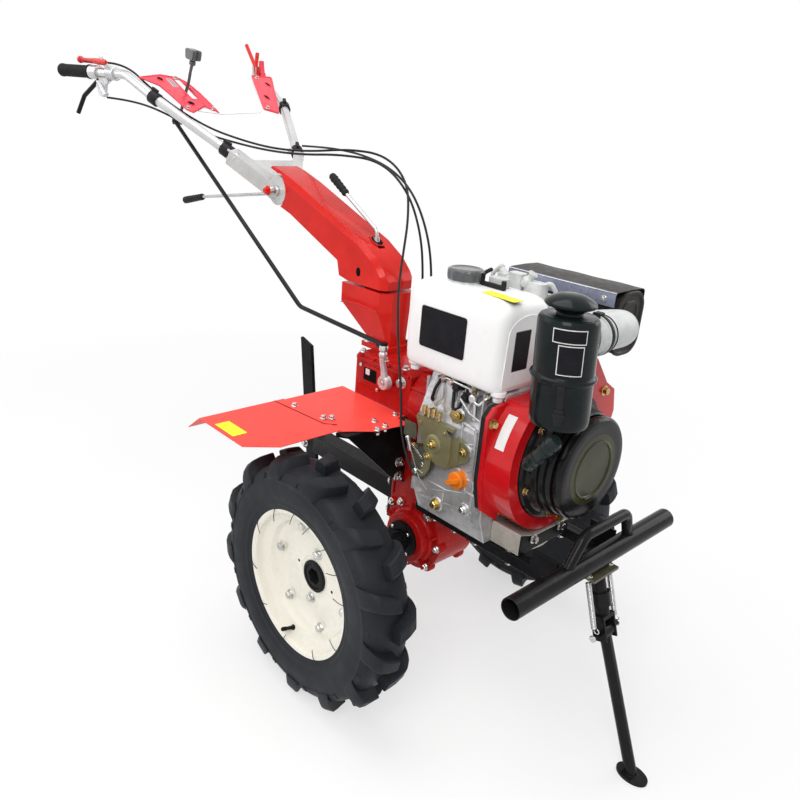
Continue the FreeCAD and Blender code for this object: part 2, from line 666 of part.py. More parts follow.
def make_column_upper():
    """Hooded arm that leans back from the swivel to the handlebar joint."""
    body = new_body("column_upper")
    split = "sizes.split_height + sizes.split_gap / 2"
    points = [
        ("sizes.swivel_x - 56", split),
        ("sizes.swivel_x + 74", split),
        ("sizes.swivel_x + 76", "%s + 20" % split),
        ("sizes.swivel_x + 64", "%s + 40" % split),
        ("sizes.swivel_x + 37", "%s + 66" % split),
        ("sizes.swivel_x - 17", "%s + 97" % split),
        ("sizes.swivel_x - 120", "%s + 137" % split),
        ("sizes.tilt_x + 69", "sizes.tilt_z + 29"),
        ("sizes.tilt_x", "sizes.tilt_z + 50"),
        ("sizes.tilt_x - 34", "sizes.tilt_z + 57"),
        ("sizes.tilt_x - 34", "sizes.tilt_z + 52"),
        ("sizes.tilt_x - 4", "sizes.tilt_z + 44"),
        ("sizes.tilt_x - 4", "sizes.tilt_z - 30"),
        ("sizes.tilt_x + 12", "sizes.tilt_z - 35"),
        ("sizes.tilt_x + 66", "sizes.tilt_z - 50"),
        ("sizes.swivel_x - 96", "%s + 40" % split),
        ("sizes.swivel_x - 87", "%s + 6" % split),
    ]
    half = "sizes.column_half"
    slab(body, "hood", "XZ", points, minus(half), half)
    edge = size(half)
    low = size(split) + 24
    rear = size("sizes.tilt_x + 10")
    nose = size("sizes.swivel_x + 78")
    soften(body, "shoulders", "Chamfer", "11",
           lambda point: (abs(abs(point.y) - edge) < 0.1 and point.x > rear
                          and point.z > low + (nose - point.x) * 0.42))
    for side in SIDES:
        corner = [
            ("sizes.swivel_x + 58", signed(side, half + " + 1")),
            ("sizes.swivel_x + 80", signed(side, half + " + 1")),
            ("sizes.swivel_x + 80", signed(side, half + " - 18")),
        ]
        notch(body, "nose_" + side, "XY", corner, split + " - 1", split + " + 60")
    drill(body, "seat_recess", "XZ", "sizes.tilt_x", "sizes.tilt_z",
          "sizes.tilt_disc_radius + sizes.seat_gap", minus(half + " + 1"), half + " + 1")
    tongue = "sizes.tongue_half"
    slab(body, "tongue", "XZ", box_outline("sizes.tilt_x", "sizes.tilt_x + 70",
                                           "sizes.tilt_z - 22", "sizes.tilt_z + 22"),
         minus(tongue), tongue)
    disc(body, "tongue_eye", "XZ", "sizes.tilt_x", "sizes.tilt_z", "22", minus(tongue), tongue)
    drill(body, "tilt_bore", "XZ", "sizes.tilt_x", "sizes.tilt_z",
          "sizes.tilt_pin_radius + sizes.pin_gap", minus(half + " + 1"), half + " + 1")
    disc(body, "spigot", "XY", "sizes.swivel_x", "0", "sizes.spigot_radius",
         "sizes.split_height - sizes.spigot_length + 0.5", "sizes.split_height + 10")
    notch(body, "lever_hole", "XY", box_outline("sizes.swivel_x - 34", "sizes.swivel_x + 6",
                                                "0 - 10", "10"),
          split + " + 76", split + " + 120")
    drill(body, "cable_hole", "XZ", "sizes.swivel_x - 16", "%s + 30" % split, "7",
          minus(half + " + 1"), minus(half + " - 16"))
    return body


def handle_points(sign):
    """Centre line of one handlebar tube, from its seat to the grip's end."""
    def point(x, y, z):
        return (size(x), sign * size(y), size(z))
    low = Vector(*point("sizes.clamp_low_x", "sizes.clamp_low_y", "sizes.clamp_low_z"))
    high = Vector(*point("sizes.clamp_high_x", "sizes.clamp_high_y", "sizes.clamp_high_z"))
    start = low + (low - high).normalize() * 22
    return [
        tuple(start),
        tuple(high),
        point("sizes.bend_x", "sizes.bend_y", "sizes.bend_z"),
        point("sizes.grip_end_x", "sizes.grip_end_y", "sizes.bend_z"),
    ]


def make_handlebars():
    """Bent handlebar tubes and their grips."""
    radius = size("sizes.bar_radius")
    tubes = []
    grips = []
    for sign in SIDES.values():
        points = handle_points(sign)
        end = Vector(*points[-1])
        along = (end - Vector(*points[-2])).normalize()
        tube_end = end - along * 6
        tubes.append(round_bar(points[:-1] + [tube_end], [90, 70], radius))
        near = end - along * size("sizes.grip_length")
        grip = straight_bar(near, end, size("sizes.grip_radius"))
        grips.append(grip.cut(straight_bar(near, tube_end + along * 0.1, radius + 0.05)))
    new_feature("handlebar_tubes", Part.Compound(tubes))
    new_feature("grips", Part.Compound(grips))


def rectangle(x_low, z_low, x_high, z_high, y_near, y_far):
    """A leaning four-cornered wire between two heights and two widths."""
    corners = [(x_low, y_near, z_low), (x_low, y_far, z_low), (x_high, y_far, z_high),
               (x_high, y_near, z_high), (x_low, y_near, z_low)]
    return Part.makePolygon([Vector(*corner) for corner in corners])


def seat_shape():
    """Forked casting on the tilt pin: two discs, two arms to the tubes and a web."""
    x = size("sizes.tilt_x")
    z = size("sizes.tilt_z")
    near = size("sizes.tongue_half") + 0.3
    far = size("sizes.seat_half")
    low_x = size("sizes.clamp_low_x")
    low_y = size("sizes.clamp_low_y")
    low_z = size("sizes.clamp_low_z")
    shapes = [Part.makeCylinder(size("sizes.tilt_pin_radius"), 2 * far, Vector(x, -far, z),
                                Vector(0, 1, 0))]
    for sign in SIDES.values():
        start = Vector(x, sign * near, z)
        shapes.append(Part.makeCylinder(size("sizes.tilt_disc_radius"), far - near, start,
                                        Vector(0, sign, 0)))
        root = rectangle(x - 30, z - 24, x - 24, z + 17, sign * near, sign * far)
        tip = rectangle(low_x - 2, low_z - 25, low_x + 8, low_z + 12,
                        sign * (low_y - 19), sign * (low_y + 15))
        shapes.append(Part.makeLoft([root, tip], True, True))
    root = rectangle(x - 46, z - 12, x - 44, z - 3, -near - 4, near + 4)
    tip = rectangle(low_x, low_z - 22, low_x + 2, low_z - 14, -low_y, low_y)
    shapes.append(Part.makeLoft([root, tip], True, True))
    whole = shapes[0].fuse(shapes[1:])
    for sign in SIDES.values():
        points = handle_points(sign)
        bore = straight_bar(points[0], points[1], size("sizes.bar_radius") + 0.05)
        whole = whole.cut(bore)
    return whole


def make_handlebar_seat():
    """The fork that joins both handlebar tubes to the column."""
    new_feature("handlebar_seat", seat_shape())


# --------------------------------------------------------------------------------------
# Engine
# --------------------------------------------------------------------------------------
def make_crankcase():
    """Air-cooled diesel crankcase: a tall casting that narrows to its foot."""
    body = new_body("crankcase")
    floor = "sizes.crank_floor"
    points = [
        ("sizes.crank_right + 22", floor),
        ("sizes.crank_left - 22", floor),
        ("sizes.crank_left", floor + " + 50"),
        ("sizes.crank_left", "sizes.crank_top"),
        ("sizes.crank_right + 34", "sizes.crank_top"),
        ("sizes.crank_right", "sizes.crank_top - 90"),
        ("sizes.crank_right", floor + " + 60"),
    ]
    slab(body, "casting", "YZ", points, "sizes.crank_rear", "sizes.crank_front")
    slab(body, "gasket", "YZ", points, "sizes.crank_front", "sizes.shroud_rear")
    return body


def make_cylinder_head():
    """Finned head and rocker cover beside the tank."""
    body = new_body("cylinder_head")
    points = box_outline("sizes.tank_left + 8", "sizes.crank_left + 26",
                         "sizes.crank_top + 0.1", "sizes.head_top - 26")
    slab(body, "head", "YZ", points, "sizes.head_rear", "sizes.head_front")
    cover = box_outline("sizes.tank_left + 16", "sizes.crank_left + 18",
                        "sizes.head_top - 28", "sizes.head_top")
    slab(body, "rocker_cover", "YZ", cover, "sizes.head_rear + 12", "sizes.head_front - 12")
    return body


def make_blower_shroud():
    """Red volute round the flywheel fan, its foot flange and the arm to the head."""
    body = new_body("blower_shroud")
    rear = "sizes.shroud_rear"
    front = "sizes.shroud_front"
    centre = "sizes.crank_height"
    disc(body, "volute", "YZ", "0", centre, "sizes.shroud_radius", rear, front)
    arm = [
        ("0 - sizes.shroud_radius * 0.6", centre),
        ("sizes.shroud_radius", centre),
        ("sizes.shroud_arm_y", centre + " + 60"),
        ("sizes.shroud_arm_y - 13", centre + " + 109"),
        ("sizes.shroud_arm_y - 47", centre + " + 130"),
        ("sizes.shroud_arm_y - 98", "sizes.shroud_arm_top"),
        ("sizes.shroud_arm_y - 124", "sizes.shroud_arm_top"),
        ("0 - 20", "sizes.tank_floor - 4"),
        ("0 - sizes.shroud_radius * 0.6", "sizes.tank_floor - 4"),
    ]
    slab(body, "arm", "YZ", arm, rear, front)
    flange = [
        ("0 - 100", centre + " - 141"),
        ("0 - 150", centre + " - 104"),
        ("0 - 164", centre + " - 40"),
        ("0 - 164", centre + " + 92"),
        ("0 - 148", centre + " + 110"),
        ("0 - 90", "sizes.tank_floor - 9"),
        ("0 - 60", centre),
    ]
    slab(body, "foot_flange", "YZ", flange, rear, rear + " + 8")
    notch(body, "tank_shelf", "YZ", box_outline("0 - sizes.shroud_radius - 1", "0 - 14",
                                                "sizes.tank_floor - 8", "sizes.tank_top"),
          rear + " - 1", front + " + 1")
    drill(body, "mouth", "YZ", "0", centre, "sizes.shroud_mouth", front + " - 24",
          front + " + 1")
    return body


def make_sump():
    """Cast foot in front of the crankcase, under the shroud."""
    body = new_body("sump")
    under = "sizes.crank_height - sizes.shroud_radius"
    points = [
        ("0 - 100", "sizes.sump_low"),
        ("64", "sizes.sump_low"),
        ("64", under + " - 1"),
        ("0 - 52", under + " - 1"),
        ("0 - 100", under + " + 15"),
    ]
    slab(body, "casting", "YZ", points, "sizes.shroud_rear", "sizes.sump_front")
    return body


def make_governor_plate():
    """Plated sheet beside the crankcase that carries the speed levers."""
    body = new_body("governor_plate")
    face = "sizes.plate_right"
    centre = "sizes.crank_height"
    points = [
        ("sizes.crank_rear - 32", centre + " - 3"),
        ("sizes.crank_rear + 4", centre + " - 27"),
        ("sizes.crank_rear + 4", centre + " - 108"),
        ("sizes.crank_rear + 34", centre + " - 108"),
        ("sizes.crank_rear + 40", centre + " - 27"),
        ("sizes.crank_rear + 153", centre + " - 17"),
        ("sizes.crank_rear + 153", centre + " + 27"),
        ("sizes.crank_rear + 80", centre + " + 47"),
        ("sizes.crank_rear - 2", centre + " + 43"),
        ("sizes.crank_rear - 32", centre + " + 19"),
    ]
    slab(body, "sheet", "XZ", points, face, face + " + sizes.plate_sheet")
    for number, reach in enumerate(("26", "128")):
        disc(body, "spacer_%d" % number, "XZ", "sizes.crank_rear + " + reach, centre + " + 8",
             "9", face + " + sizes.plate_sheet", "sizes.crank_right")
    return body


def make_oil_cap():
    """Winged filler cap low on the right of the crankcase."""
    body = new_body("oil_cap")
    x = "sizes.crank_rear + 129"
    z = "sizes.crank_height - 67"
    disc(body, "cap", "XZ", x, z, "17", "sizes.crank_right - 12", "sizes.crank_right")
    wing = box_outline(x + " - 15", x + " + 15", z + " - 3", z + " + 3")
    slab(body, "wing", "XZ", wing, "sizes.crank_right - 26", "sizes.crank_right - 12")
    return body


def make_starter():
    """Recoil starter: bolted flange, drum and the proud front disc."""
    body = new_body("recoil_starter")
    base = "sizes.shroud_front - 24"
    points = [
        (base, "0"),
        (base, "sizes.shroud_mouth - 2"),
        ("sizes.shroud_front + 4", "sizes.shroud_mouth - 2"),
        ("sizes.shroud_front + 12", "sizes.starter_body"),
        ("sizes.starter_front - sizes.disc_front_wall - 8", "sizes.starter_body - 14"),
        ("sizes.starter_front - sizes.disc_front_wall", "sizes.starter_body - 40"),
        ("sizes.starter_front - sizes.disc_front_wall", "0"),
    ]
    spin(body, "drum", "XZ", points, "H_Axis")
    place(body, "0", "0", "sizes.crank_height")
    cover = new_body("starter_cover")
    points = [
        ("sizes.starter_front - sizes.disc_front_wall + 0.1", "0"),
        ("sizes.starter_front - sizes.disc_front_wall + 0.1", "sizes.starter_disc - 4"),
        ("sizes.starter_front - 10", "sizes.starter_disc"),
        ("sizes.starter_front - 4", "sizes.starter_disc - 4"),
        ("sizes.starter_front", "sizes.starter_disc - 24"),
        ("sizes.starter_front", "0"),
    ]
    spin(cover, "dish", "XZ", points, "H_Axis")
    place(cover, "0", "0", "sizes.crank_height")
    step = size("sizes.shroud_front") + 12
    run = size("sizes.starter_front - sizes.disc_front_wall - 8") - step
    drum = Part.makeCone(size("sizes.starter_body"), size("sizes.starter_body") - 14, run,
                         Vector(step, 0, size("sizes.crank_height")), Vector(1, 0, 0))
    bar = straight_bar((358, -155, 632), (404, -155, 694), 9)
    stem = straight_bar((381, -155, 663), (362, -94, 628), 5)
    new_feature("starter_handle", bar.fuse(stem).cut(drum).removeSplitter())


def make_fuel_tank():
    """Moulded tank with rounded edges."""
    corner = Vector(size("sizes.tank_rear"), size("sizes.tank_right"), size("sizes.tank_floor"))
    length = size("sizes.tank_front - sizes.tank_rear")
    width = size("sizes.tank_left - sizes.tank_right")
    height = size("sizes.tank_top - sizes.tank_floor")
    block = Part.makeBox(length, width, height, corner)
    new_feature("fuel_tank", block.makeFillet(size("sizes.tank_round"), block.Edges))
    base = Vector(size("sizes.cap_x"), size("sizes.cap_y"), size("sizes.tank_top"))
    new_feature("tank_cap", Part.makeCylinder(size("sizes.tank_cap_radius"),
                                              size("sizes.tank_cap_height"), base))


def make_air_cleaner():
    """Canister with a joint ring, and its rain dome."""
    body = new_body("air_cleaner")
    radius = "sizes.cleaner_radius"
    floor = "sizes.cleaner_floor"
    points = [
        ("0", floor),
        (radius + " - 12", floor),
        (radius + " - 2", floor + " + 8"),
        (radius, floor + " + 90"),
        (radius + " + 4", floor + " + 94"),
        (radius + " + 4", floor + " + 100"),
        (radius, floor + " + 104"),
        (radius, "sizes.cleaner_top - 8"),
        (radius + " - 8", "sizes.cleaner_top"),
        ("0", "sizes.cleaner_top"),
    ]
    spin(body, "canister", "XZ", points)
    top = "sizes.cleaner_top"
    points = [
        ("0", top + " - 4"),
        ("24", top + " - 4"),
        ("24", top + " + 16"),
        ("sizes.dome_radius", top + " + 18"),
        ("sizes.dome_radius", top + " + 26"),
        ("20", top + " + sizes.dome_height"),
        ("0", top + " + sizes.dome_height"),
    ]
    spin(body, "dome", "XZ", points)
    place(body, "sizes.cleaner_x", "sizes.cleaner_y", "0")
    return body


def make_muffler():
    """Box muffler along the left of the tank, its flange and its folded heat shield."""
    corner = Vector(size("sizes.muffler_rear"), size("sizes.muffler_right"),
                    size("sizes.muffler_floor"))
    length = size("sizes.muffler_front - sizes.muffler_rear")
    width = size("sizes.muffler_left - sizes.muffler_right")
    height = size("sizes.muffler_top - sizes.muffler_floor")
    block = Part.makeBox(length, width, height, corner)
    head_side = size("sizes.crank_left") + 26.1
    flange = Part.makeBox(70, size("sizes.muffler_right") - head_side, 30,
                          Vector(120, head_side, 800))
    new_feature("muffler", block.makeFillet(12, block.Edges).fuse(flange))
    shield = new_body("heat_shield")
    right = "sizes.shield_right"
    top = "sizes.muffler_top"
    points = [
        (right, "sizes.shield_low"),
        (right + " + sizes.shield_wall", "sizes.shield_low"),
        (right + " + sizes.shield_wall", top),
        ("sizes.muffler_left", top),
        ("sizes.muffler_left", top + " + sizes.shield_wall"),
        (right, top + " + sizes.shield_wall"),
    ]
    slab(shield, "sheet", "YZ", points, "sizes.muffler_rear + 6", "sizes.muffler_front - 8")


def make_intake_elbow():
    """Pipe from the air cleaner round the front of the tank to the cylinder head."""
    x = size("sizes.cleaner_x")
    y = size("sizes.cleaner_y + sizes.cleaner_radius")
    head_y = size("sizes.tank_left") + 66
    level = size("sizes.elbow_level")
    face = size("sizes.head_front") + 0.1
    radius = size("sizes.elbow_radius")
    drop = size("sizes.elbow_drop")
    slope = drop / (x - face)
    points = [(x, y - 20, level), (x, head_y, level), (face - 20, head_y, level - drop - 20 * slope)]
    can = Part.makeCylinder(size("sizes.cleaner_radius") + 0.05, 300,
                            Vector(x, size("sizes.cleaner_y"), 600))
    head = Part.makeBox(face, 400, 400, Vector(0, head_y - 200, 600))
    clamp = Part.makeCylinder(radius + 4, 14, Vector(x, y + 16, level), Vector(0, 1, 0))
    new_feature("intake_elbow", round_bar(points, [46], radius).cut(can).cut(head).fuse(clamp))


# --------------------------------------------------------------------------------------
# Engine frame, bumper and front stand
# --------------------------------------------------------------------------------------
def make_engine_frame():
    """Two rails under the engine, tied across, with cheeks that hold the bumper."""
    body = new_body("engine_frame")
    low = "sizes.rail_top - sizes.rail_height"
    high = "sizes.rail_top"
    seat = "sizes.bumper_x - sizes.bumper_radius"
    for side in SIDES:
        outline = box_outline("sizes.rail_rear", "sizes.rail_front",
                              signed(side, "sizes.rail_outer"),
                              signed(side, "sizes.rail_outer - sizes.rail_width"))
        slab(body, "rail_" + side, "XY", outline, low, high)
    tie = box_outline("sizes.rail_front - 40", "sizes.rail_front",
                      minus("sizes.rail_outer"), "sizes.rail_outer")
    slab(body, "front_tie", "XY", tie, low, high)
    tie = box_outline("sizes.rail_rear + 40", "sizes.rail_rear + 70",
                      minus("sizes.rail_outer"), "sizes.rail_outer")
    slab(body, "rear_tie", "XY", tie, low, low + " + 6")
    for side in SIDES:
        cheek = box_outline(seat + " - 60", seat, high + " - 4", "sizes.bumper_z + 16")
        span = [signed(side, "sizes.rail_outer"),
                signed(side, "sizes.rail_outer - sizes.plate_wall")]
        slab(body, "cheek_" + side, "XZ", cheek, min(span, key=size), max(span, key=size))
    return body


def make_bumper():
    """Open-ended tube across the front."""
    body = new_body("bumper")
    half = "sizes.bumper_half"
    disc(body, "tube", "XZ", "sizes.bumper_x", "sizes.bumper_z", "sizes.bumper_radius",
         minus(half), half)
    drill(body, "bore", "XZ", "sizes.bumper_x", "sizes.bumper_z",
          "sizes.bumper_radius - sizes.bumper_wall", minus(half + " + 1"), half + " + 1")
    return body


def make_bumper_loop():
    """Bent lifting loop welded on the bumper."""
    x = size("sizes.bumper_x")
    z = size("sizes.bumper_z")
    half = size("sizes.loop_half")
    top = z + size("sizes.loop_height")
    points = [(x, -half, z), (x, -half * 0.55, top), (x, half * 0.75, top), (x, half, z)]
    bar = round_bar(points, [26, 20], size("sizes.loop_radius"))
    tube = straight_bar((x, -200, z), (x, 200, z), size("sizes.bumper_radius"))
    new_feature("bumper_loop", bar.cut(tube))


def make_stand_bracket():
    """Hanger under the bumper: plate, upper tube, collar and the clevis for the pin."""
    top = Vector(size("sizes.stand_top_x"), 0, size("sizes.stand_top_z"))
    pin = Vector(size("sizes.stand_pin_x"), 0, size("sizes.stand_pin_z"))
    bar = Vector(size("sizes.bumper_x"), 0, size("sizes.bumper_z"))
    across = Vector(0, 200, 0)
    down = (pin - top).normalize()
    radius = size("sizes.stand_tube")
    shelf = top.z + 5
    tube = straight_bar(top - down * 12, pin - down * 30, radius)
    tube = tube.cut(Part.makeBox(200, 200, 100, Vector(top.x - 100, -100, shelf)))
    plate = Part.makeBox(40, 84, 6, Vector(top.x - 20, -42, shelf))
    inner = radius + 0.5
    clevis = Part.makeBox(30, 2 * inner + 8, 8, Vector(-15, -inner - 4, 29))
    for start in (-inner - 4, inner):
        clevis = clevis.fuse(Part.makeBox(30, 4, 50, Vector(-15, start, -15)))
    angle = math.degrees(math.atan2(-down.x, -down.z))
    clevis.Placement = Placement(pin, Rotation(Vector(0, 1, 0), angle))
    collar = straight_bar(top + down * 34, top + down * 62, radius + 5)
    shape = tube.fuse([plate, clevis, collar])
    shape = shape.cut(straight_bar(bar - across, bar + across, size("sizes.bumper_radius")))
    bore = straight_bar(pin - across, pin + across,
                        size("sizes.stand_pin_radius + sizes.pin_gap"))
    new_feature("stand_bracket", shape.cut(bore).removeSplitter())
    springs = []
    for sign in SIDES.values():
        out = Vector(0, sign * size("sizes.spring_y"), 0)
        hook = Vector(pin.x - 3, 0, pin.z + 10)
        springs.append(straight_bar(Vector(top.x + 2, 0, shelf + 3) + out, hook + out,
                                    size("sizes.spring_radius")).cut(plate))
    new_feature("stand_springs", Part.Compound(springs))


def make_stand_leg():
    """Folding leg with its cross pin, tube and foot plate."""
    pin = Vector(size("sizes.stand_pin_x"), 0, size("sizes.stand_pin_z"))
    foot = Vector(size("sizes.foot_x"), 0, 0)
    wall = size("sizes.foot_wall")
    leg = straight_bar(pin, foot, size("sizes.stand_leg"))
    leg = leg.cut(Part.makeBox(200, 200, 100, Vector(foot.x - 100, -100, wall - 2 - 100)))
    eye = straight_bar((pin.x, -14, pin.z), (pin.x, 14, pin.z), 14)
    half = size("sizes.stand_pin_half")
    cross = straight_bar((pin.x, -half, pin.z), (pin.x, half, pin.z),
                         size("sizes.stand_pin_radius"))
    pad = Part.makeCylinder(1, wall, Vector(0, 0, 0))
    stretch = FreeCAD.Matrix()
    stretch.scale(size("sizes.foot_length") / 2, size("sizes.foot_width") / 2, 1)
    pad = pad.transformGeometry(stretch)
    pad.translate(Vector(foot.x, 0, 0))
    shape = leg.fuse([eye, cross, pad]).removeSplitter()
    new_feature("stand_leg", shape)


# --------------------------------------------------------------------------------------
# Controls
# --------------------------------------------------------------------------------------
RIGHT_PANEL = [(-78, -214), (-68, -202), (-37, -173), (10, -166), (94, -158), (108, -145),
               (66, -91), (98, -64), (-10, -65), (-74, -74), (-99, -91), (-107, -140)]
LEFT_PANEL = [(-167, 187), (-169, 261), (79, 138), (59, 100)]
TRAY = [(-95, -140), (-150, -60), (-186, 37), (-160, 175), (0, 150), (74, 80), (100, -55),
        (90, -120), (60, -150)]


def panel(body, name, points, low, high):
    """A flat sheet of the console, its corners counted down the slope and across."""
    slab(body, name, "XY", [(str(u), "0 + %d" % v if v >= 0 else "0 - %d" % -v)
                            if u >= 0 else
                            ("0 - %d" % -u, "0 + %d" % v if v >= 0 else "0 - %d" % -v)
                            for u, v in points], low, high)


def make_console():
    """Two console panels on the handlebar tubes and the tray between them."""
    run = size("sizes.clamp_high_x - sizes.bend_x")
    rise = size("sizes.bend_z - sizes.clamp_high_z")
    lean = math.degrees(math.atan2(rise, run))
    scale = 1 / math.cos(math.radians(lean))
    height = "sizes.clamp_high_z + %f + sizes.bar_radius * %f" % (0.3 * scale, scale)
    tilt = Rotation(Vector(0, 1, 0), lean)
    wall = "sizes.panel_wall"
    panels = new_body("console_panels")
    panel(panels, "right", RIGHT_PANEL, "0", wall)
    panel(panels, "left", LEFT_PANEL, "0", wall)
    notch(panels, "lever_slot", "XY", box_outline("0 - 92", "28", "0 - 108", "0 - 90"),
          "0 - 1", wall + " + 1")
    place(panels, "sizes.clamp_high_x", "0", height, tilt)
    tray = new_body("console_tray")
    panel(tray, "sheet", TRAY, minus(wall), "0")
    notch(tray, "lever_slot", "XY", box_outline("0 - 92", "28", "0 - 112", "0 - 86"),
          minus(wall + " + 1"), "1")
    place(tray, "sizes.clamp_high_x", "0", height, tilt)


def make_shift_linkage():
    """Shift lever on the console, bent rod, and the arm on the gearbox."""
    knee = Vector(size("sizes.knee_x"), size("sizes.knee_y"), size("sizes.knee_z"))
    across = Vector(0, 1, 0)
    top = knee + Vector(79, 5, 172)
    lever = straight_bar(knee, top, 4)
    knob = Part.makeBox(34, 16, 26, top - Vector(17, 8, 6))
    stud = Part.makeCylinder(3, 16, knee, -across)
    pivot = knee + (top - knee) * 0.28
    barrel = Part.makeCylinder(9, 26, Vector(pivot.x, knee.y - 18, pivot.z), across)
    lean = math.atan2(size("sizes.bend_z - sizes.clamp_high_z"),
                      size("sizes.clamp_high_x - sizes.bend_x"))
    gap = size("sizes.bar_radius - sizes.panel_wall") + 0.2
    corners = []
    for x in (pivot.x - 12, pivot.x + 12):
        rise = (gap - (x - size("sizes.clamp_high_x")) * math.sin(lean)) / math.cos(lean)
        corners.append(Vector(x, knee.y - 18, size("sizes.clamp_high_z") + rise))
    corners += [Vector(pivot.x + 12, knee.y - 18, pivot.z), Vector(pivot.x - 12, knee.y - 18, pivot.z)]
    hanger = Part.Face(Part.makePolygon(corners + corners[:1])).extrude(across * 4)
    new_feature("shift_lever", lever.fuse([knob, stud, barrel, hanger]).removeSplitter())
    rod_y = knee.y - size("sizes.rod_offset")
    arm_x = size("sizes.arm_x")
    end = size("sizes.rod_end")
    start = Vector(knee.x, rod_y, knee.z)
    rod = round_bar([start, (-393, rod_y, end + 19), (arm_x, rod_y, end + 6)], [40], 5.5)
    eye = Part.makeCylinder(9, 9, start + across * 4.5, -across)
    joint = Part.makeCylinder(9, 12, Vector(arm_x, rod_y, end))
    bore = Part.makeCylinder(3 + size("sizes.pin_gap"), 40, start + across * 20, -across)
    new_feature("shift_rod", rod.fuse([eye, joint]).cut(bore).removeSplitter())
    foot = size("sizes.arm_foot")
    side = size("sizes.top_half")
    arm = Part.makeBox(16, 8, size("sizes.arm_top") - foot, Vector(arm_x - 8, rod_y - 4, foot))
    boss = Part.makeCylinder(14, 4 - rod_y - side, Vector(arm_x, -side, foot), -across)
    new_feature("shift_arm", arm.fuse(boss).removeSplitter())


def make_column_levers():
    """Tilt lever on the handlebar pivot and swivel lever on the column's hood."""
    root = Vector(size("sizes.tilt_x"), -size("sizes.seat_half") - 0.1, size("sizes.tilt_z"))
    nut = straight_bar(root, root - Vector(0, 27, 0), 13)
    hub = root - Vector(0, 20, 8)
    reach = root + Vector(-347, -20, -61)
    end = reach + Vector(-95, -4, -22)
    tilt = straight_bar(hub, reach, 6)
    new_feature("tilt_lever", nut.fuse([tilt, straight_bar(reach, end, 11)]).removeSplitter())
    x = size("sizes.swivel_x") - 14
    level = size("sizes.split_height")
    turn = Vector(x - 136, 0, level + 192)
    swivel = round_bar([(x, 0, level + 79.1), (x - 3, 0, level + 124), turn], [16], 5)
    knob = straight_bar(turn, turn + Vector(-59, 0, 36), 10)
    new_feature("swivel_lever", swivel.fuse(knob))


def tube_point(sign, x):
    """The point of a handlebar tube's last run at a station along the machine."""
    bend = Vector(*handle_points(sign)[-2])
    end = Vector(*handle_points(sign)[-1])
    return bend + (end - bend) * ((x - bend.x) / (end.x - bend.x))


def clip_on(sign, rear, front):
    """A ring round a handlebar tube, and the cylinder that clears it."""
    start = tube_point(sign, rear)
    end = tube_point(sign, front)
    along = (end - start).normalize() * 30
    solid = straight_bar(start, end, size("sizes.perch_radius"))
    tube = straight_bar(start - along, end + along, size("sizes.bar_radius") + 0.05)
    return solid.cut(tube), solid.fuse(tube)


def make_hand_levers():
    """Perches on the tubes with the brake, throttle and clutch levers."""
    brake_ring, brake_core = clip_on(-1, -1188, -1160)
    tab = straight_bar((-1170, -260, 1214), (-1112, -262, 1174), 6).cut(brake_core)
    throttle_ring, throttle_core = clip_on(-1, -1112, -1096)
    stub = straight_bar((-1104, -248, 1240), (-1104, -262, 1252), 7).cut(throttle_core)
    clutch_ring, clutch_core = clip_on(1, -1188, -1160)
    thin = straight_bar((-1180, 246, 1244), (-1302, 205, 1268), 4).cut(clutch_core)
    perches = [brake_ring.fuse(tab), throttle_ring.fuse(stub), clutch_ring.fuse(thin)]
    new_feature("lever_perches", Part.Compound(perches))
    brake = round_bar([(-1157, -258, 1214), (-1214, -280, 1168), (-1241, -290, 1121)], [20], 6)
    brake = brake.cut(brake_core).cut(tab)
    throttle = straight_bar((-1098, -262, 1256), (-1234, -275, 1262), 5)
    throttle = throttle.cut(stub)
    body = straight_bar((-1172, 256, 1240), (-1168, 250, 1292), 12)
    long_prong = straight_bar((-1168, 250, 1288), (-1270, 280, 1356), 6)
    short_prong = straight_bar((-1168, 250, 1288), (-1175, 260, 1332), 6)
    clutch = body.fuse([long_prong, short_prong]).cut(clutch_core).cut(thin)
    new_feature("hand_levers", Part.Compound([brake, throttle, clutch]))


def cable_radii(points):
    """Largest tangent arcs that fit between the runs of a cable."""
    radii = []
    for i in range(1, len(points) - 1):
        before = Vector(*points[i - 1]) - Vector(*points[i])
        after = Vector(*points[i + 1]) - Vector(*points[i])
        half_turn = (math.pi - before.getAngle(after)) / 2
        radii.append(0.45 * min(before.Length, after.Length) / math.tan(half_turn))
    return radii


def make_cables():
    """Sheathed control cables from the handlebar levers to the engine and gearbox."""
    routes = {
        "clutch_cable": [(-735, 126, 1086), (-640, 106, 1091), (-530, 91, 1094),
                         (-420, 80, 1090), (-310, 70, 1072), (-225, 60, 1036),
                         (-165, 53, 975), (-127, 50, 895), (-115, 50, 785),
                         (-112, 50, 672.1)],
        "brake_cable": [(-1106, -261, 1169), (-1050, -222, 1167), (-940, -192, 1150),
                        (-840, -134, 1105), (-740, -84, 1087), (-630, -56, 1078),
                        (-520, -30, 1079), (-415, 4, 1090), (-310, 42, 1086),
                        (-215, 46, 1030), (-156, 41, 940), (-137, 40, 840),
                        (-133, 40, 740), (-132, 40, 672.1)],
        "throttle_cable": [(-1092, -259, 1256), (-1072, -244, 1256), (-1048, -212, 1242),
                           (-1010, -192, 1210), (-925, -168, 1166), (-830, -115, 1117),
                           (-730, -64, 1093), (-620, -38, 1083), (-510, -10, 1088),
                           (-410, 24, 1103), (-310, 54, 1100), (-225, 50, 1052),
                           (-172, 12, 978), (-140, -28, 898), (-104, -68, 824),
                           (-62, -96, 732), (-10, -124, 632), (38, -160, 540),
                           (81, -156, 494)],
    }
    for label, points in routes.items():
        radii = cable_radii(points)
        print(label, "radii", [round(radius) for radius in radii])
        new_feature(label, round_bar(points, radii, 4))


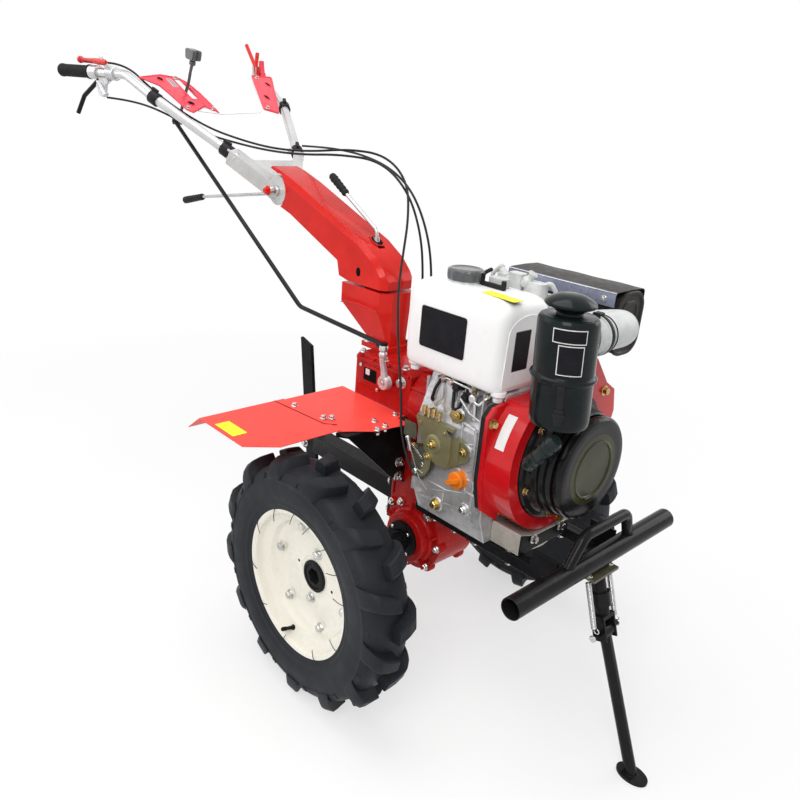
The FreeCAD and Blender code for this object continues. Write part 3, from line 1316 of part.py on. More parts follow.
def finish():
    """Check every object and write each node's STEP file."""
    doc.recompute()
    for item in doc.Objects:
        if "Invalid" in item.State or "Error" in item.State:
            raise RuntimeError("%s is %s" % (item.Label, item.State))
    os.makedirs("parts", exist_ok=True)
    for node in nodes:
        shape = node.Shape
        if shape.isNull() or not shape.isValid():
            raise RuntimeError("%s has no valid shape" % node.Label)
        shape.exportStep("parts/%s.step" % node.Label)
        print("%-20s solids %d volume %.0f" % (node.Label, len(shape.Solids), shape.Volume))


for side in SIDES:
    make_tyre(side)
    make_rim(side)
    make_hub(side)
    make_axle(side)
make_gearbox_case()
make_bearing_caps()
make_gearbox_top()
make_clutch_housing()
make_fenders()
make_fender_brackets()
make_hitch()
make_depth_bar()
make_column_lower()
make_column_upper()
make_handlebars()
make_handlebar_seat()
make_crankcase()
make_cylinder_head()
make_blower_shroud()
make_sump()
make_governor_plate()
make_oil_cap()
make_starter()
make_fuel_tank()
make_air_cleaner()
make_muffler()
make_intake_elbow()
make_engine_frame()
make_bumper()
make_bumper_loop()
make_stand_bracket()
make_stand_leg()
make_console()
make_shift_linkage()
make_column_levers()
make_hand_levers()
make_cables()
finish()
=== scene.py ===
"""Walk-behind power weeder: the looks of every piece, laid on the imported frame."""
import json
import math

import bmesh
import bpy
import mathutils
import numpy as np
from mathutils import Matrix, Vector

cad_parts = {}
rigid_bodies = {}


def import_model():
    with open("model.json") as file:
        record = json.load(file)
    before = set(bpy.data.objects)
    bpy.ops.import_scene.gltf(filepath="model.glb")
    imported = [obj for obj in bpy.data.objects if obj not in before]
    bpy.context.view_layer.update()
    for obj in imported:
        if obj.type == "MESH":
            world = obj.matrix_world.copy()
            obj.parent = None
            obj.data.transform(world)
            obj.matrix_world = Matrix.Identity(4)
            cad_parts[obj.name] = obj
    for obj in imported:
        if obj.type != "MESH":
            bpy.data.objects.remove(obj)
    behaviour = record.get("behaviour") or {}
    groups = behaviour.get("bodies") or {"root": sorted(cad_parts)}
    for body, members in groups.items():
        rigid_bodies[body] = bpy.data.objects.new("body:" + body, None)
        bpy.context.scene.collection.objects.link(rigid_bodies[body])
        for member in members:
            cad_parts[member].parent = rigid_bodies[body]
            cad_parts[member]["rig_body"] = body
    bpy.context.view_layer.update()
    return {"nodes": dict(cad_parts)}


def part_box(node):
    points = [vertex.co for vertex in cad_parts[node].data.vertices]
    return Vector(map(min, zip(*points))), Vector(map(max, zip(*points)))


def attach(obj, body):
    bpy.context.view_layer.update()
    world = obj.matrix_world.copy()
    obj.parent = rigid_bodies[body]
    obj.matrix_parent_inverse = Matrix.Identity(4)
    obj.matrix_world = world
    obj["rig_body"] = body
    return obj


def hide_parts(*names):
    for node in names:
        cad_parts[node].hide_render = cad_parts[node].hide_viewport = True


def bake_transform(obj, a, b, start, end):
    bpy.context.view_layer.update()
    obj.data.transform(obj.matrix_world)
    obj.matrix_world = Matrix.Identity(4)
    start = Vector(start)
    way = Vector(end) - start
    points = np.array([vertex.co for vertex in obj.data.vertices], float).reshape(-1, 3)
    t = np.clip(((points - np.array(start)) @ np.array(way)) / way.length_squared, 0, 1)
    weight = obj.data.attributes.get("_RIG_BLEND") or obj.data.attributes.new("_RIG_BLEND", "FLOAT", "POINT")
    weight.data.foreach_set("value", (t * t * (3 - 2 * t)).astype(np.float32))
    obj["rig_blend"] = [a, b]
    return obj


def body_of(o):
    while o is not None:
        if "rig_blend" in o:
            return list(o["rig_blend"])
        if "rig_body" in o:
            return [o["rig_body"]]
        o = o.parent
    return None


bl_info = {"name": "Power weeder", "version": (1, 0, 0), "blender": (4, 5, 0),
    "location": "View3D > Sidebar > Weeder", "description":
    "Builds the visible pieces of a walk-behind power weeder on its CAD frame", "category": "Add Mesh",}

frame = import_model()
AXLE_X = (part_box("axle_right")[0][0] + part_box("axle_right")[1][0]) / 2
SIDES = {"right": -1, "left": 1}
CAMERA_RIGHT = (0.679154, 0.729781, 0.078545)
CAMERA_UP = (-0.313021, 0.191178, 0.930306)
CAMERA_BACK = (0.663904, -0.656407, 0.358276)
CAMERA_PLACE = (1.04895, -1.17015, 1.19914)   # metres from the axle's middle at ground level
CAMERA_LENS = 33.6285                         # millimetres on a sensor 36 wide
CAMERA_SHIFT = (-0.00183, -0.00222)


# ---------------------------------------------------------------------------
# Sizes and colours that a user may change
# ---------------------------------------------------------------------------
def colour(name, text, value):
    """A paint colour property, linear."""
    return bpy.props.FloatVectorProperty(name=name, description=text, default=value, size=3, min=0, max=1,
        subtype="COLOR")


def length(name, text, value):
    """A length property in metres."""
    return bpy.props.FloatProperty(name=name, description=text, default=value, min=0, unit="LENGTH")


class WeederPaints(bpy.types.PropertyGroup):
    """Colours of the painted, moulded and plated pieces."""
    red: colour("Body red", "Paint of the gearbox, column, fenders and shroud", (0.62, 0.012, 0.007))
    cream: colour("Rim cream", "Paint of the wheel rims", (0.83, 0.80, 0.71))
    black: colour("Frame black", "Paint of the rails, bumper, stand and brackets", (0.008, 0.008, 0.009))
    tank: colour("Tank white", "Moulding colour of the fuel tank", (0.84, 0.84, 0.84))
    rubber: colour("Tyre rubber", "Colour of both tyres", (0.0165, 0.0185, 0.0225))
    casting: colour("Casting grey", "Colour of the raw aluminium castings", (0.50, 0.50, 0.51))
    accent: colour("Cap orange", "Colour of the oil filler cap", (0.80, 0.20, 0.01))


class WeederTread(bpy.types.PropertyGroup):
    """Sizes of the tyre tread."""
    lugs: bpy.props.IntProperty(name="Lugs a side", description="Tread lugs on each half of a tyre",
        default=13, min=4)
    lug_width: length("Lug width", "Width of a lug along the tread", 0.030)
    lug_height: length("Lug height", "How far a lug stands out of the tread", 0.022)
    lug_skew: bpy.props.FloatProperty(name="Lug skew",
        description="How far a lug turns round the wheel from nose to shoulder", default=math.radians(7.5),
        subtype="ANGLE")


class WeederTrim(bpy.types.PropertyGroup):
    """Sizes of the rounded edges and the cables."""
    edge: length("Edge round", "Rounding on the edges of castings and sheets", 0.0025)
    cable: length("Cable size", "Outer diameter of the control cables", 0.0054)


# ---------------------------------------------------------------------------
# Shapes
# ---------------------------------------------------------------------------
def spots(points):
    """Points in millimetres from the axle's middle at ground level, in metres on the frame."""
    return np.asarray(points, dtype=float) / 1000 + np.array([AXLE_X, 0, 0])


def unit(vector):
    """Vectors scaled to length one."""
    vector = np.asarray(vector, dtype=float)
    return vector / np.maximum(np.linalg.norm(vector, axis=-1, keepdims=True), 1e-12)


def quads(rows, columns, loop_rows=False, loop_columns=False):
    """Faces of a grid of points, rows first; a looped direction joins its end to its start."""
    i = np.arange(rows if loop_rows else rows - 1)[:, None]
    j = np.arange(columns if loop_columns else columns - 1)[None, :]
    ahead = (i + 1) % rows
    right = (j + 1) % columns
    corners = [i * columns + j, i * columns + right, ahead * columns + right, ahead * columns + j]
    return np.stack([c + 0 * (i + j) for c in corners], axis=-1).reshape(-1, 4)


class Blank:
    """Points and faces of a piece while it is put together."""

    def __init__(self):
        self.points = []
        self.faces = []
        self.looks = []
        self.count = 0

    def add(self, points, faces, look=0):
        """Join a part: its points, its faces and the number of its look."""
        points = np.asarray(points, dtype=float).reshape(-1, 3)
        rows = [[int(i) + self.count for i in face] for face in faces]
        self.points.append(points)
        self.faces += rows
        self.looks += [look] * len(rows)
        self.count += len(points)

    def grid(self, points, look=0, loop_rows=False, loop_columns=False, caps=False):
        """Join a grid of points; caps close its first and last row."""
        points = np.asarray(points, dtype=float)
        rows, columns = points.shape[:2]
        faces = quads(rows, columns, loop_rows, loop_columns).tolist()
        if caps:
            faces.append(list(range(columns))[::-1])
            faces.append([(rows - 1) * columns + i for i in range(columns)])
        self.add(points, faces, look)


def frames_along(line):
    """Two directions across a line that turn with it as little as they can."""
    ahead = unit(np.gradient(line, axis=0))
    guide = np.array([0.0, 0.0, 1.0]) if abs(ahead[0][2]) < 0.9 else np.array([0.0, 1.0, 0.0])
    across = []
    for direction in ahead:
        guide = unit(guide - direction * np.dot(guide, direction))
        across.append(guide)
    across = np.array(across)
    return across, np.cross(ahead, across)


def ring_of(count):
    """A unit circle as pairs, counter-clockwise."""
    turn = np.arange(count) * (2 * math.pi / count)
    return np.stack([np.cos(turn), np.sin(turn)], axis=-1)


def bar(blank, line, radius, sides=20, look=0, caps=True):
    """A round bar: a circle of the given radius, one number or one for each point, carried along a line."""
    line = np.asarray(line, dtype=float)
    across, other = frames_along(line)
    radius = np.broadcast_to(np.asarray(radius, dtype=float), (len(line),))[:, None, None]
    circle = ring_of(sides)
    points = line[:, None, :] + radius * (circle[None, :, :1] * across[:, None, :] + circle[None, :, 1:]
        * other[:, None, :])
    blank.grid(points, look, loop_columns=True, caps=caps)


def turned(blank, profile, origin, axis, sides=48, look=0, start=0.0):
    """A turned piece: pairs (radius, distance along the axis) spun about an axis through the origin."""
    axis = unit(axis)
    guide = np.array([0.0, 0.0, 1.0]) if abs(axis[2]) < 0.9 else np.array([1.0, 0.0, 0.0])
    first = unit(guide - axis * np.dot(guide, axis))
    second = np.cross(axis, first)
    profile = np.asarray(profile, dtype=float)
    turn = start + np.arange(sides) * (2 * math.pi / sides)
    round_ = np.cos(turn)[:, None] * first + np.sin(turn)[:, None] * second
    points = (np.asarray(origin) + profile[:, 1][:, None, None] * axis + profile[:, 0][:, None, None]
        * round_[None, :, :])
    blank.grid(points, look, loop_columns=True)


def prism(blank, outline, origin, right, up, depth, look=0):
    """A flat outline, pairs along two directions, carried straight from the origin by a depth."""
    right = unit(right)
    up = unit(up)
    out = np.cross(right, up)
    outline = np.asarray(outline, dtype=float)
    base = np.asarray(origin) + outline[:, :1] * right + outline[:, 1:] * up
    points = np.stack([base, base + out * depth])
    blank.grid(points, look, loop_columns=True, caps=True)


def rounded(width, height, radius, steps=5):
    """Corners of a rectangle about its middle, with rounded corners."""
    turn = np.linspace(0, math.pi / 2, steps)
    arc = np.stack([np.cos(turn), np.sin(turn)], axis=-1) * radius
    parts = []
    for k, (sx, sy) in enumerate(((1, 1), (-1, 1), (-1, -1), (1, -1))):
        angle = k * math.pi / 2
        spin = np.array([[math.cos(angle), -math.sin(angle)], [math.sin(angle), math.cos(angle)]])
        centre = np.array([sx * (width / 2 - radius), sy * (height / 2 - radius)])
        parts.append(centre + arc @ spin.T)
    return np.concatenate(parts)


def bolt(blank, place, out, size, look=0, washer=True, stud=0.0):
    """A hexagon head with a chamfered top on a round washer, standing on a surface."""
    out = unit(out)
    place = np.asarray(place, dtype=float)
    if washer:
        turned(blank, [(0, 0), (size * 0.82, 0), (size * 0.82, size * 0.10), (size * 0.76, size * 0.14),
            (0, size * 0.14)], place, out, 20, look)
        place = place + out * size * 0.13
    radius = size / math.sqrt(3)
    turned(blank, [(0, 0), (radius, 0), (radius, size * 0.50), (radius * 0.84, size * 0.60),
        (0, size * 0.60)], place, out, 6, look)
    if stud:
        turned(blank, [(0, 0), (size * 0.30, 0), (size * 0.30, size * 0.60 + stud),
            (size * 0.24, size * 0.65 + stud), (0, size * 0.65 + stud)], place, out, 12, look)


def eased(points, count, order=3):
    """A smooth line through the run of a route: the route's own spline, read back as points."""
    curve = bpy.data.curves.new("route", "CURVE")
    curve.dimensions = "3D"
    spline = curve.splines.new("NURBS")
    spline.points.add(len(points) - 1)
    flat = np.concatenate([np.asarray(points, dtype=float), np.ones((len(points), 1))], axis=1)
    spline.points.foreach_set("co", flat.ravel())
    spline.order_u = order
    spline.use_endpoint_u = True
    spline.resolution_u = max(2, count // len(points))
    holder = bpy.data.objects.new("route", curve)
    bpy.context.scene.collection.objects.link(holder)
    mesh = bpy.data.meshes.new_from_object(holder)
    line = np.empty(len(mesh.vertices) * 3)
    mesh.vertices.foreach_get("co", line)
    bpy.data.objects.remove(holder)
    bpy.data.curves.remove(curve)
    bpy.data.meshes.remove(mesh)
    return line.reshape(-1, 3)


def cornered(points, radius, steps=8):
    """A line of straight runs whose corners are arcs of about the given radius."""
    points = np.asarray(points, dtype=float)
    parts = [points[:1]]
    for before, corner, after in zip(points[:-2], points[1:-1], points[2:]):
        back, forth = unit(before - corner), unit(after - corner)
        half = math.acos(max(-1.0, min(1.0, float(np.dot(back, forth))))) / 2
        reach = min(radius / math.tan(half), np.linalg.norm(before - corner) * 0.49,
            np.linalg.norm(after - corner) * 0.49)
        start, end = corner + back * reach, corner + forth * reach
        t = np.linspace(0, 1, steps)[:, None]
        parts.append((1 - t) ** 2 * start + 2 * t * (1 - t) * corner + t ** 2 * end)
    parts.append(points[-1:])
    return np.concatenate(parts)


# ---------------------------------------------------------------------------
# From shapes to pieces
# ---------------------------------------------------------------------------
def settle(mesh, looks, angle=32):
    """Merge doubles, turn the faces outwards, shade smoothly up to an angle and set the looks."""
    work = bmesh.new()
    work.from_mesh(mesh)
    bmesh.ops.remove_doubles(work, verts=work.verts, dist=1e-6)
    flat = [face for face in work.faces if face.calc_area() < 1e-12]
    bmesh.ops.delete(work, geom=flat, context="FACES")
    bmesh.ops.recalc_face_normals(work, faces=work.faces)
    work.to_mesh(mesh)
    work.free()
    mesh.shade_smooth()
    mesh.set_sharp_from_angle(angle=math.radians(angle))
    for look in looks.split():
        mesh.materials.append(LOOKS[look])


def place_piece(obj, body, nodes=()):
    """Put the piece in the scene, on its body, in place of its CAD nodes."""
    if obj.name not in bpy.context.scene.collection.objects:
        bpy.context.scene.collection.objects.link(obj)
    if body:
        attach(obj, body)
    if nodes:
        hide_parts(*nodes)
    return obj


def ease_edges(obj, width, steps=2, angle=28):
    """Round the piece's sharp edges."""
    bevel = obj.modifiers.new("edges", "BEVEL")
    bevel.width = width
    bevel.segments = steps
    bevel.limit_method = "ANGLE"
    bevel.angle_limit = math.radians(angle)
    bevel.harden_normals = True
    bevel.miter_outer = "MITER_ARC"


def make_piece(name, blank, looks, body, nodes=(), edge=0.0, steps=2, angle=32):
    """A finished piece from a blank."""
    mesh = bpy.data.meshes.new(name)
    mesh.from_pydata(np.concatenate(blank.points).tolist(), [], blank.faces)
    mesh.polygons.foreach_set("material_index", blank.looks)
    settle(mesh, looks, angle)
    obj = bpy.data.objects.new(name, mesh)
    if edge:
        ease_edges(obj, edge, steps)
    return place_piece(obj, body, nodes)


def dress_node(node, look, width, steps=2, angle=32, merge=1e-5, zone=None):
    """A copy of a CAD node with its triangles merged and its edges rounded, in the node's place. With
    several looks, the zone function picks one for each face from the faces' middles."""
    mesh = frame["nodes"][node].data.copy()
    mesh.name = node + "_skin"
    work = bmesh.new()
    work.from_mesh(mesh)
    bmesh.ops.remove_doubles(work, verts=work.verts, dist=merge)
    bmesh.ops.dissolve_limit(work, angle_limit=math.radians(2.0), verts=work.verts, edges=work.edges)
    bmesh.ops.recalc_face_normals(work, faces=work.faces)
    work.to_mesh(mesh)
    work.free()
    mesh.materials.clear()
    settle(mesh, look, angle)
    if zone:
        middles = np.empty(len(mesh.polygons) * 3)
        mesh.polygons.foreach_get("center", middles)
        mesh.polygons.foreach_set("material_index", zone(middles.reshape(-1, 3)).astype(np.int32))
    obj = bpy.data.objects.new(node + "_skin", mesh)
    if width:
        ease_edges(obj, width, steps, angle)
    return place_piece(obj, body_of(frame["nodes"][node])[0], (node,))


# ---------------------------------------------------------------------------
# Finishes
# ---------------------------------------------------------------------------
LOOKS = {}
SHEEN = 0.45          # share of the coat and shine that paints and plastics keep
ROUGH_SPREAD = 0.08   # how far the roughness drifts both ways


def wire(tree, kind, place, feeds=(), **settings):
    """A node with its sockets or settings filled in and its inputs fed: pairs of an input and an output."""
    node = tree.nodes.new("ShaderNode" + kind)
    node.location = place
    for key, value in settings.items():
        if key.replace("_", " ") in node.inputs:
            node.inputs[key.replace("_", " ")].default_value = value
        else:
            setattr(node, key, value)
    for key, source in feeds:
        tree.links.new(source, node.inputs[key])
    return node


def shown(tree, place):
    """One for rays that show the background: those of the camera, of gloss and through glass."""
    x, y = place
    rays = wire(tree, "LightPath", place).outputs
    seen = wire(tree, "Math", (x + 180, y), ((0, rays["Is Camera Ray"]), (1, rays["Is Glossy Ray"])),
        operation="MAXIMUM")
    return wire(tree, "Math", (x + 360, y), ((0, seen.outputs[0]), (1, rays["Is Transmission Ray"])),
        operation="MAXIMUM").outputs[0]


def finish_of(name, tint, gloss, drift, grain, dust=None, stretch=(1, 1, 1)):
    """A paint, metal or plastic. A broad noise shifts its tone, a middle one its roughness, a fine
    one its surface, and dust settles where the middle noise is high."""
    rough, metal, coat, shine = gloss
    tone, tone_size = drift
    look = bpy.data.materials.new(name)
    look.use_nodes = True
    look.diffuse_color = (*tint, 1)
    tree = look.node_tree
    shader = tree.nodes["Principled BSDF"]
    for key, value in (("Metallic", metal), ("Coat Weight", coat * SHEEN), ("Coat Roughness", 0.08),
            ("Specular IOR Level", shine if metal else shine * SHEEN)):
        shader.inputs[key].default_value = value
    where = wire(tree, "TexCoord", (-1100, 0))
    turn = wire(tree, "Mapping", (-940, 0), (("Vector", where.outputs["Object"]),),
        Scale=stretch).outputs[0]
    feed = (("Vector", turn),)
    broad = wire(tree, "TexNoise", (-740, 220), feed, Scale=tone_size, Detail=6.0, Roughness=0.6)
    middle = wire(tree, "TexNoise", (-740, -20), feed, Scale=tone_size * 5, Detail=5.0).outputs["Fac"]
    fine = wire(tree, "TexNoise", (-740, -260), feed, Scale=grain[1], Detail=3.0)
    ramp = wire(tree, "ValToRGB", (-540, 220), (("Fac", broad.outputs["Fac"]),))
    tint = np.array(tint)
    for stop, place, shade in zip(ramp.color_ramp.elements, (0.32, 0.68),
            (tint * (1 - tone), np.minimum(tint * (1 + tone) + 0.004, 1))):
        stop.position = place
        stop.color = (*shade, 1)
    last = ramp.outputs["Color"]
    if dust is not None:
        mask = wire(tree, "MapRange", (-540, 420), (("Value", middle),), From_Min=0.50, From_Max=0.78,
            To_Max=dust[1])
        last = wire(tree, "Mix", (-320, 300), (), data_type="RGBA")
        last.inputs[7].default_value = (*dust[0], 1)
        tree.links.new(mask.outputs["Result"], last.inputs[0])
        tree.links.new(ramp.outputs["Color"], last.inputs[6])
        last = last.outputs[2]
    tree.links.new(last, shader.inputs["Base Color"])
    span = wire(tree, "MapRange", (-540, -20), (("Value", middle),), From_Min=0.3, From_Max=0.7,
        To_Min=max(rough - ROUGH_SPREAD, 0.03), To_Max=min(rough + ROUGH_SPREAD, 1.0))
    tree.links.new(span.outputs["Result"], shader.inputs["Roughness"])
    if grain[0]:
        bump = wire(tree, "Bump", (-320, -260), (("Height", fine.outputs["Fac"]),), Strength=1.0,
            Distance=grain[0] / 1000)
        tree.links.new(bump.outputs["Normal"], shader.inputs["Normal"])
    LOOKS[name] = look


def make_looks():
    """Every finish that the pieces share. A row holds the tint, then (roughness, metal, coat, shine), (share
    and size of the tone's drift), (depth in millimetres and size of the grain) and (tint, share of dust)."""
    paints = bpy.context.scene.weeder_paints
    red = tuple(paints.red)
    # The fenders' red sheet row is the body red made lighter and pinker: painted light, the sheen where the
    # same paint catches the lamps, put into its colour. The starter's olive row is a painted reflection on
    # its black disc.
    rows = {"red_paint": ((red[0] * 0.94, red[1], red[2]), (0.18, 0, 0.34, 0.22), (0.16, 7), (0.12, 420),
        ((0.46, 0.06, 0.04), 0.08)), "red_gloss": ((red[0] * 0.92, 0.006, 0.01), (0.16, 0, 0.6, 0.5),
        (0.14, 7), (0.1, 380), ((0.4, 0.05, 0.04), 0.06)), "red_sheet_painted_light": ((min(red[0] * 1.45, 1), 0.072,
        0.055), (0.42, 0, 0.1, 0.3), (0.07, 6), (0.1, 500), ((0.8, 0.2, 0.16), 0.1)),
        "red_shadow": ((0.16, 0.004, 0.004), (0.5, 0, 0, 0.5), (0.2, 9), (0, 260)),
        "red_cast": ((red[0] * 0.7, 0.008, 0.007), (0.26, 0, 0.18, 0.2), (0.22, 12), (0.35, 240),
        ((0.24, 0.02, 0.015), 0.1)), "cream_paint": (tuple(paints.cream), (0.3, 0, 0.25, 0.4), (0.03, 8),
        (0.1, 300), ((0.66, 0.62, 0.54), 0.1)), "black_paint": (tuple(paints.black), (0.34, 0, 0, 0.14),
        (0.3, 14), (0.18, 380), ((0.022, 0.022, 0.022), 0.3)), "black_gloss": (tuple(paints.black),
        (0.2, 0, 0.12, 0.2), (0.3, 12), (0.25, 90), ((0.02, 0.022, 0.022), 0.35)),
        "black_plastic": ((0.014, 0.014, 0.016), (0.42, 0, 0, 0.25), (0.22, 20), (0.2, 600),
        ((0.04, 0.04, 0.042), 0.25)), "cap_black": ((0.085, 0.088, 0.092), (0.2, 0, 0.8, 0.5), (0.2, 20),
        (0.1, 260)), "console_red": ((0.74, 0.055, 0.085), (0.34, 0, 0.2, 0.35), (0.1, 14), (0.1, 400),
        ((0.8, 0.25, 0.28), 0.1)), "black_rubber": ((0.012, 0.012, 0.013), (0.55, 0, 0, 0.25), (0.2, 25),
        (0.3, 700), ((0.05, 0.05, 0.05), 0.25)), "tyre_rubber": (tuple(paints.rubber), (0.5, 0, 0, 0.28),
        (0.22, 7), (0.45, 330), ((0.022, 0.025, 0.029), 0.55)), "tyre_edge": ((0.075, 0.082, 0.092),
        (0.78, 0, 0, 0.3), (0.35, 30), (0.9, 420), ((0.16, 0.17, 0.18), 0.5)),
        "cast_aluminium": (tuple(paints.casting), (0.4, 0.55, 0, 0.5), (0.26, 16), (1.2, 150),
        ((0.22, 0.21, 0.2), 0.45)), "pale_casting": ((0.6, 0.6, 0.61), (0.36, 0.6, 0, 0.5), (0.18, 18),
        (0.4, 260), ((0.4, 0.38, 0.36), 0.25)), "sump_casting": ((0.42, 0.39, 0.35), (0.48, 0.2, 0, 0.5),
        (0.25, 14), (0.5, 200), ((0.24, 0.2, 0.17), 0.5)), "zinc": ((0.6, 0.6, 0.59), (0.26, 1, 0, 0.5),
        (0.16, 40), (0.15, 500), ((0.3, 0.3, 0.27), 0.35)), "yellow_zinc": ((0.29, 0.26, 0.14),
        (0.36, 0.55, 0, 0.5), (0.16, 10), (0.15, 420), ((0.16, 0.17, 0.1), 0.22)),
        "dull_zinc": ((0.13, 0.125, 0.085), (0.4, 0.5, 0, 0.5), (0.3, 24), (0.2, 260)),
        "gold_bolt": ((0.55, 0.42, 0.17), (0.28, 1, 0, 0.5), (0.25, 60), (0.1, 260)),
        "brass": ((0.6, 0.44, 0.18), (0.26, 1, 0, 0.5), (0.15, 50), (0.1, 260)),
        "bright_tube": ((0.6, 0.6, 0.61), (0.22, 0.45, 0, 0.5), (0.08, 12), (0.06, 520)),
        "plated_steel": ((0.48, 0.48, 0.48), (0.28, 0.9, 0, 0.5), (0.12, 20), (0.1, 260)),
        "plated_sheet": ((0.8, 0.8, 0.8), (0.36, 0.15, 0, 0.5), (0.06, 8), (0.08, 320)),
        "seat_plate": ((0.56, 0.56, 0.55), (0.38, 0.35, 0, 0.5), (0.12, 10), (0.12, 320),
        ((0.36, 0.35, 0.33), 0.3)), "tank_plastic": (tuple(paints.tank), (0.34, 0, 0.15, 0.4), (0.025, 5),
        (0.08, 160)), "clear_plastic": ((0.56, 0.57, 0.56), (0.24, 0, 0.3, 0.5), (0.18, 45), (0.1, 260)),
        "pale_plastic": ((0.56, 0.57, 0.57), (0.42, 0, 0, 0.5), (0.06, 12), (0.1, 260),
        ((0.34, 0.34, 0.33), 0.3)), "black_enamel": ((0.006, 0.01, 0.01), (0.18, 0, 0.15, 0.22), (0.3, 10),
        (0.12, 300), ((0.014, 0.02, 0.019), 0.3)), "starter_enamel": ((0.04, 0.04, 0.014),
        (0.2, 0, 0.08, 0.32), (0.3, 9), (0.1, 420), ((0.04, 0.044, 0.028), 0.35)),
        "grip_green": ((0.01, 0.018, 0.017), (0.28, 0, 0.25, 0.3), (0.2, 30), (0.1, 260)),
        "starter_black": ((0.008, 0.008, 0.008), (0.2, 0, 0.2, 0.25), (0.3, 20), (0.1, 260)),
        "burnt_black": ((0.02, 0.018, 0.016), (0.42, 0, 0, 0.3), (0.35, 12), (0.3, 300),
        ((0.06, 0.048, 0.04), 0.55)), "shield_steel": ((0.19, 0.205, 0.28), (0.3, 0.2, 0, 0.4), (0.3, 14),
        (0.12, 260), ((0.13, 0.14, 0.16), 0.4)), "olive_plate": ((0.085, 0.08, 0.045), (0.38, 0.3, 0, 0.5),
        (0.25, 20), (0.2, 260), ((0.06, 0.06, 0.045), 0.4)), "cap_orange": (tuple(paints.accent),
        (0.36, 0, 0.15, 0.5), (0.12, 40), (0.1, 260)), "cable_sheath": ((0.012, 0.012, 0.014),
        (0.36, 0, 0, 0.3), (0.2, 60), (0.08, 260)), "label_black": ((0.01, 0.01, 0.013),
        (0.34, 0, 0, 0.15), (0.05, 30), (0.01, 260)), "label_dark": ((0.01, 0.01, 0.013),
        (0.34, 0, 0, 0.15), (0.05, 30), (0.01, 260)), "label_yellow": ((0.86, 0.78, 0.03),
        (0.38, 0, 0, 0.3), (0.05, 30), (0, 260)), "label_white": ((0.74, 0.74, 0.73), (0.4, 0, 0, 0.3),
        (0.04, 30), (0, 260)), "label_grey": ((0.3, 0.3, 0.31), (0.36, 0, 0, 0.5), (0.08, 30), (0, 260)),
        "shadow_gap": ((0.004, 0.004, 0.004), (0.7, 0, 0, 0.1), (0.2, 9), (0, 260)),
        "spring_steel": ((0.55, 0.55, 0.56), (0.24, 1, 0, 0.5), (0.12, 80), (0.05, 260)),}
    for name, row in rows.items():
        finish_of(name, *row, stretch=(0.4, 1, 1) if name == "bright_tube" else (1, 1, 1))


# ---------------------------------------------------------------------------
# Wheels
# ---------------------------------------------------------------------------
def wheel_frame(side):
    """The wheel's middle and its outward direction."""
    low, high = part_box("tyre_" + side)
    middle = (np.array(low) + np.array(high)) / 2
    return middle, np.array([0.0, SIDES[side], 0.0])


def on_wheel(middle, out, angle, radius, offset):
    """Points of a wheel: angle from ahead towards the top, radius, distance outwards. All in metres."""
    angle, radius, offset = np.broadcast_arrays(angle, radius, offset)
    return np.stack([middle[0] + radius * np.cos(angle), middle[1] + out[1] * offset,
        middle[2] + radius * np.sin(angle)], axis=-1)


def tread_lug(blank, middle, out, angle, hand, tread, look):
    """One lug. Along it, t runs from the nose at the middle of the tread to the tip on the sidewall;
    across it the profile is a block with sloped flanks and rounded shoulders. Its angle turns by the
    skew times t, eased, and its height falls away past the shoulder."""
    t = np.linspace(0, 1, 18)[:, None]
    offset = np.interp(t, [0, 0.60, 0.78, 0.90, 1], [-0.004, 0.040, 0.0505, 0.0545, 0.0560])
    top = np.interp(t, [0, 0.35, 0.60, 0.78, 0.90, 1], [0.2750, 0.2748, 0.2718, 0.2610, 0.2460, 0.2300])
    base = np.interp(t, [0, 0.5, 0.78, 0.90, 1], [0.2490, 0.2470, 0.2400, 0.2330, 0.2270])
    skew = tread.lug_skew * (0.25 * t + 0.75 * t ** 1.6)
    width = tread.lug_width * np.interp(t, [0, 0.5, 1], [0.86, 1.0, 1.22])
    across = np.array([-0.66, -0.60, -0.54, -0.42, 0.42, 0.54, 0.60, 0.66])[None, :]
    height = np.array([0.0, 0.45, 0.90, 1.0, 1.0, 0.90, 0.45, 0.0])[None, :]
    out_shift = np.where(t > 0.78, (t - 0.78) * 0.004, 0) * height
    radius = base + (top - base) * height
    points = on_wheel(middle, out, angle + skew + width * across / 0.262, radius,
        hand * (offset + out_shift))
    blank.grid(points, look, caps=True)
    blank.add(points[:, [0, -1]].reshape(-1, 3), quads(len(points), 2).tolist(), look)


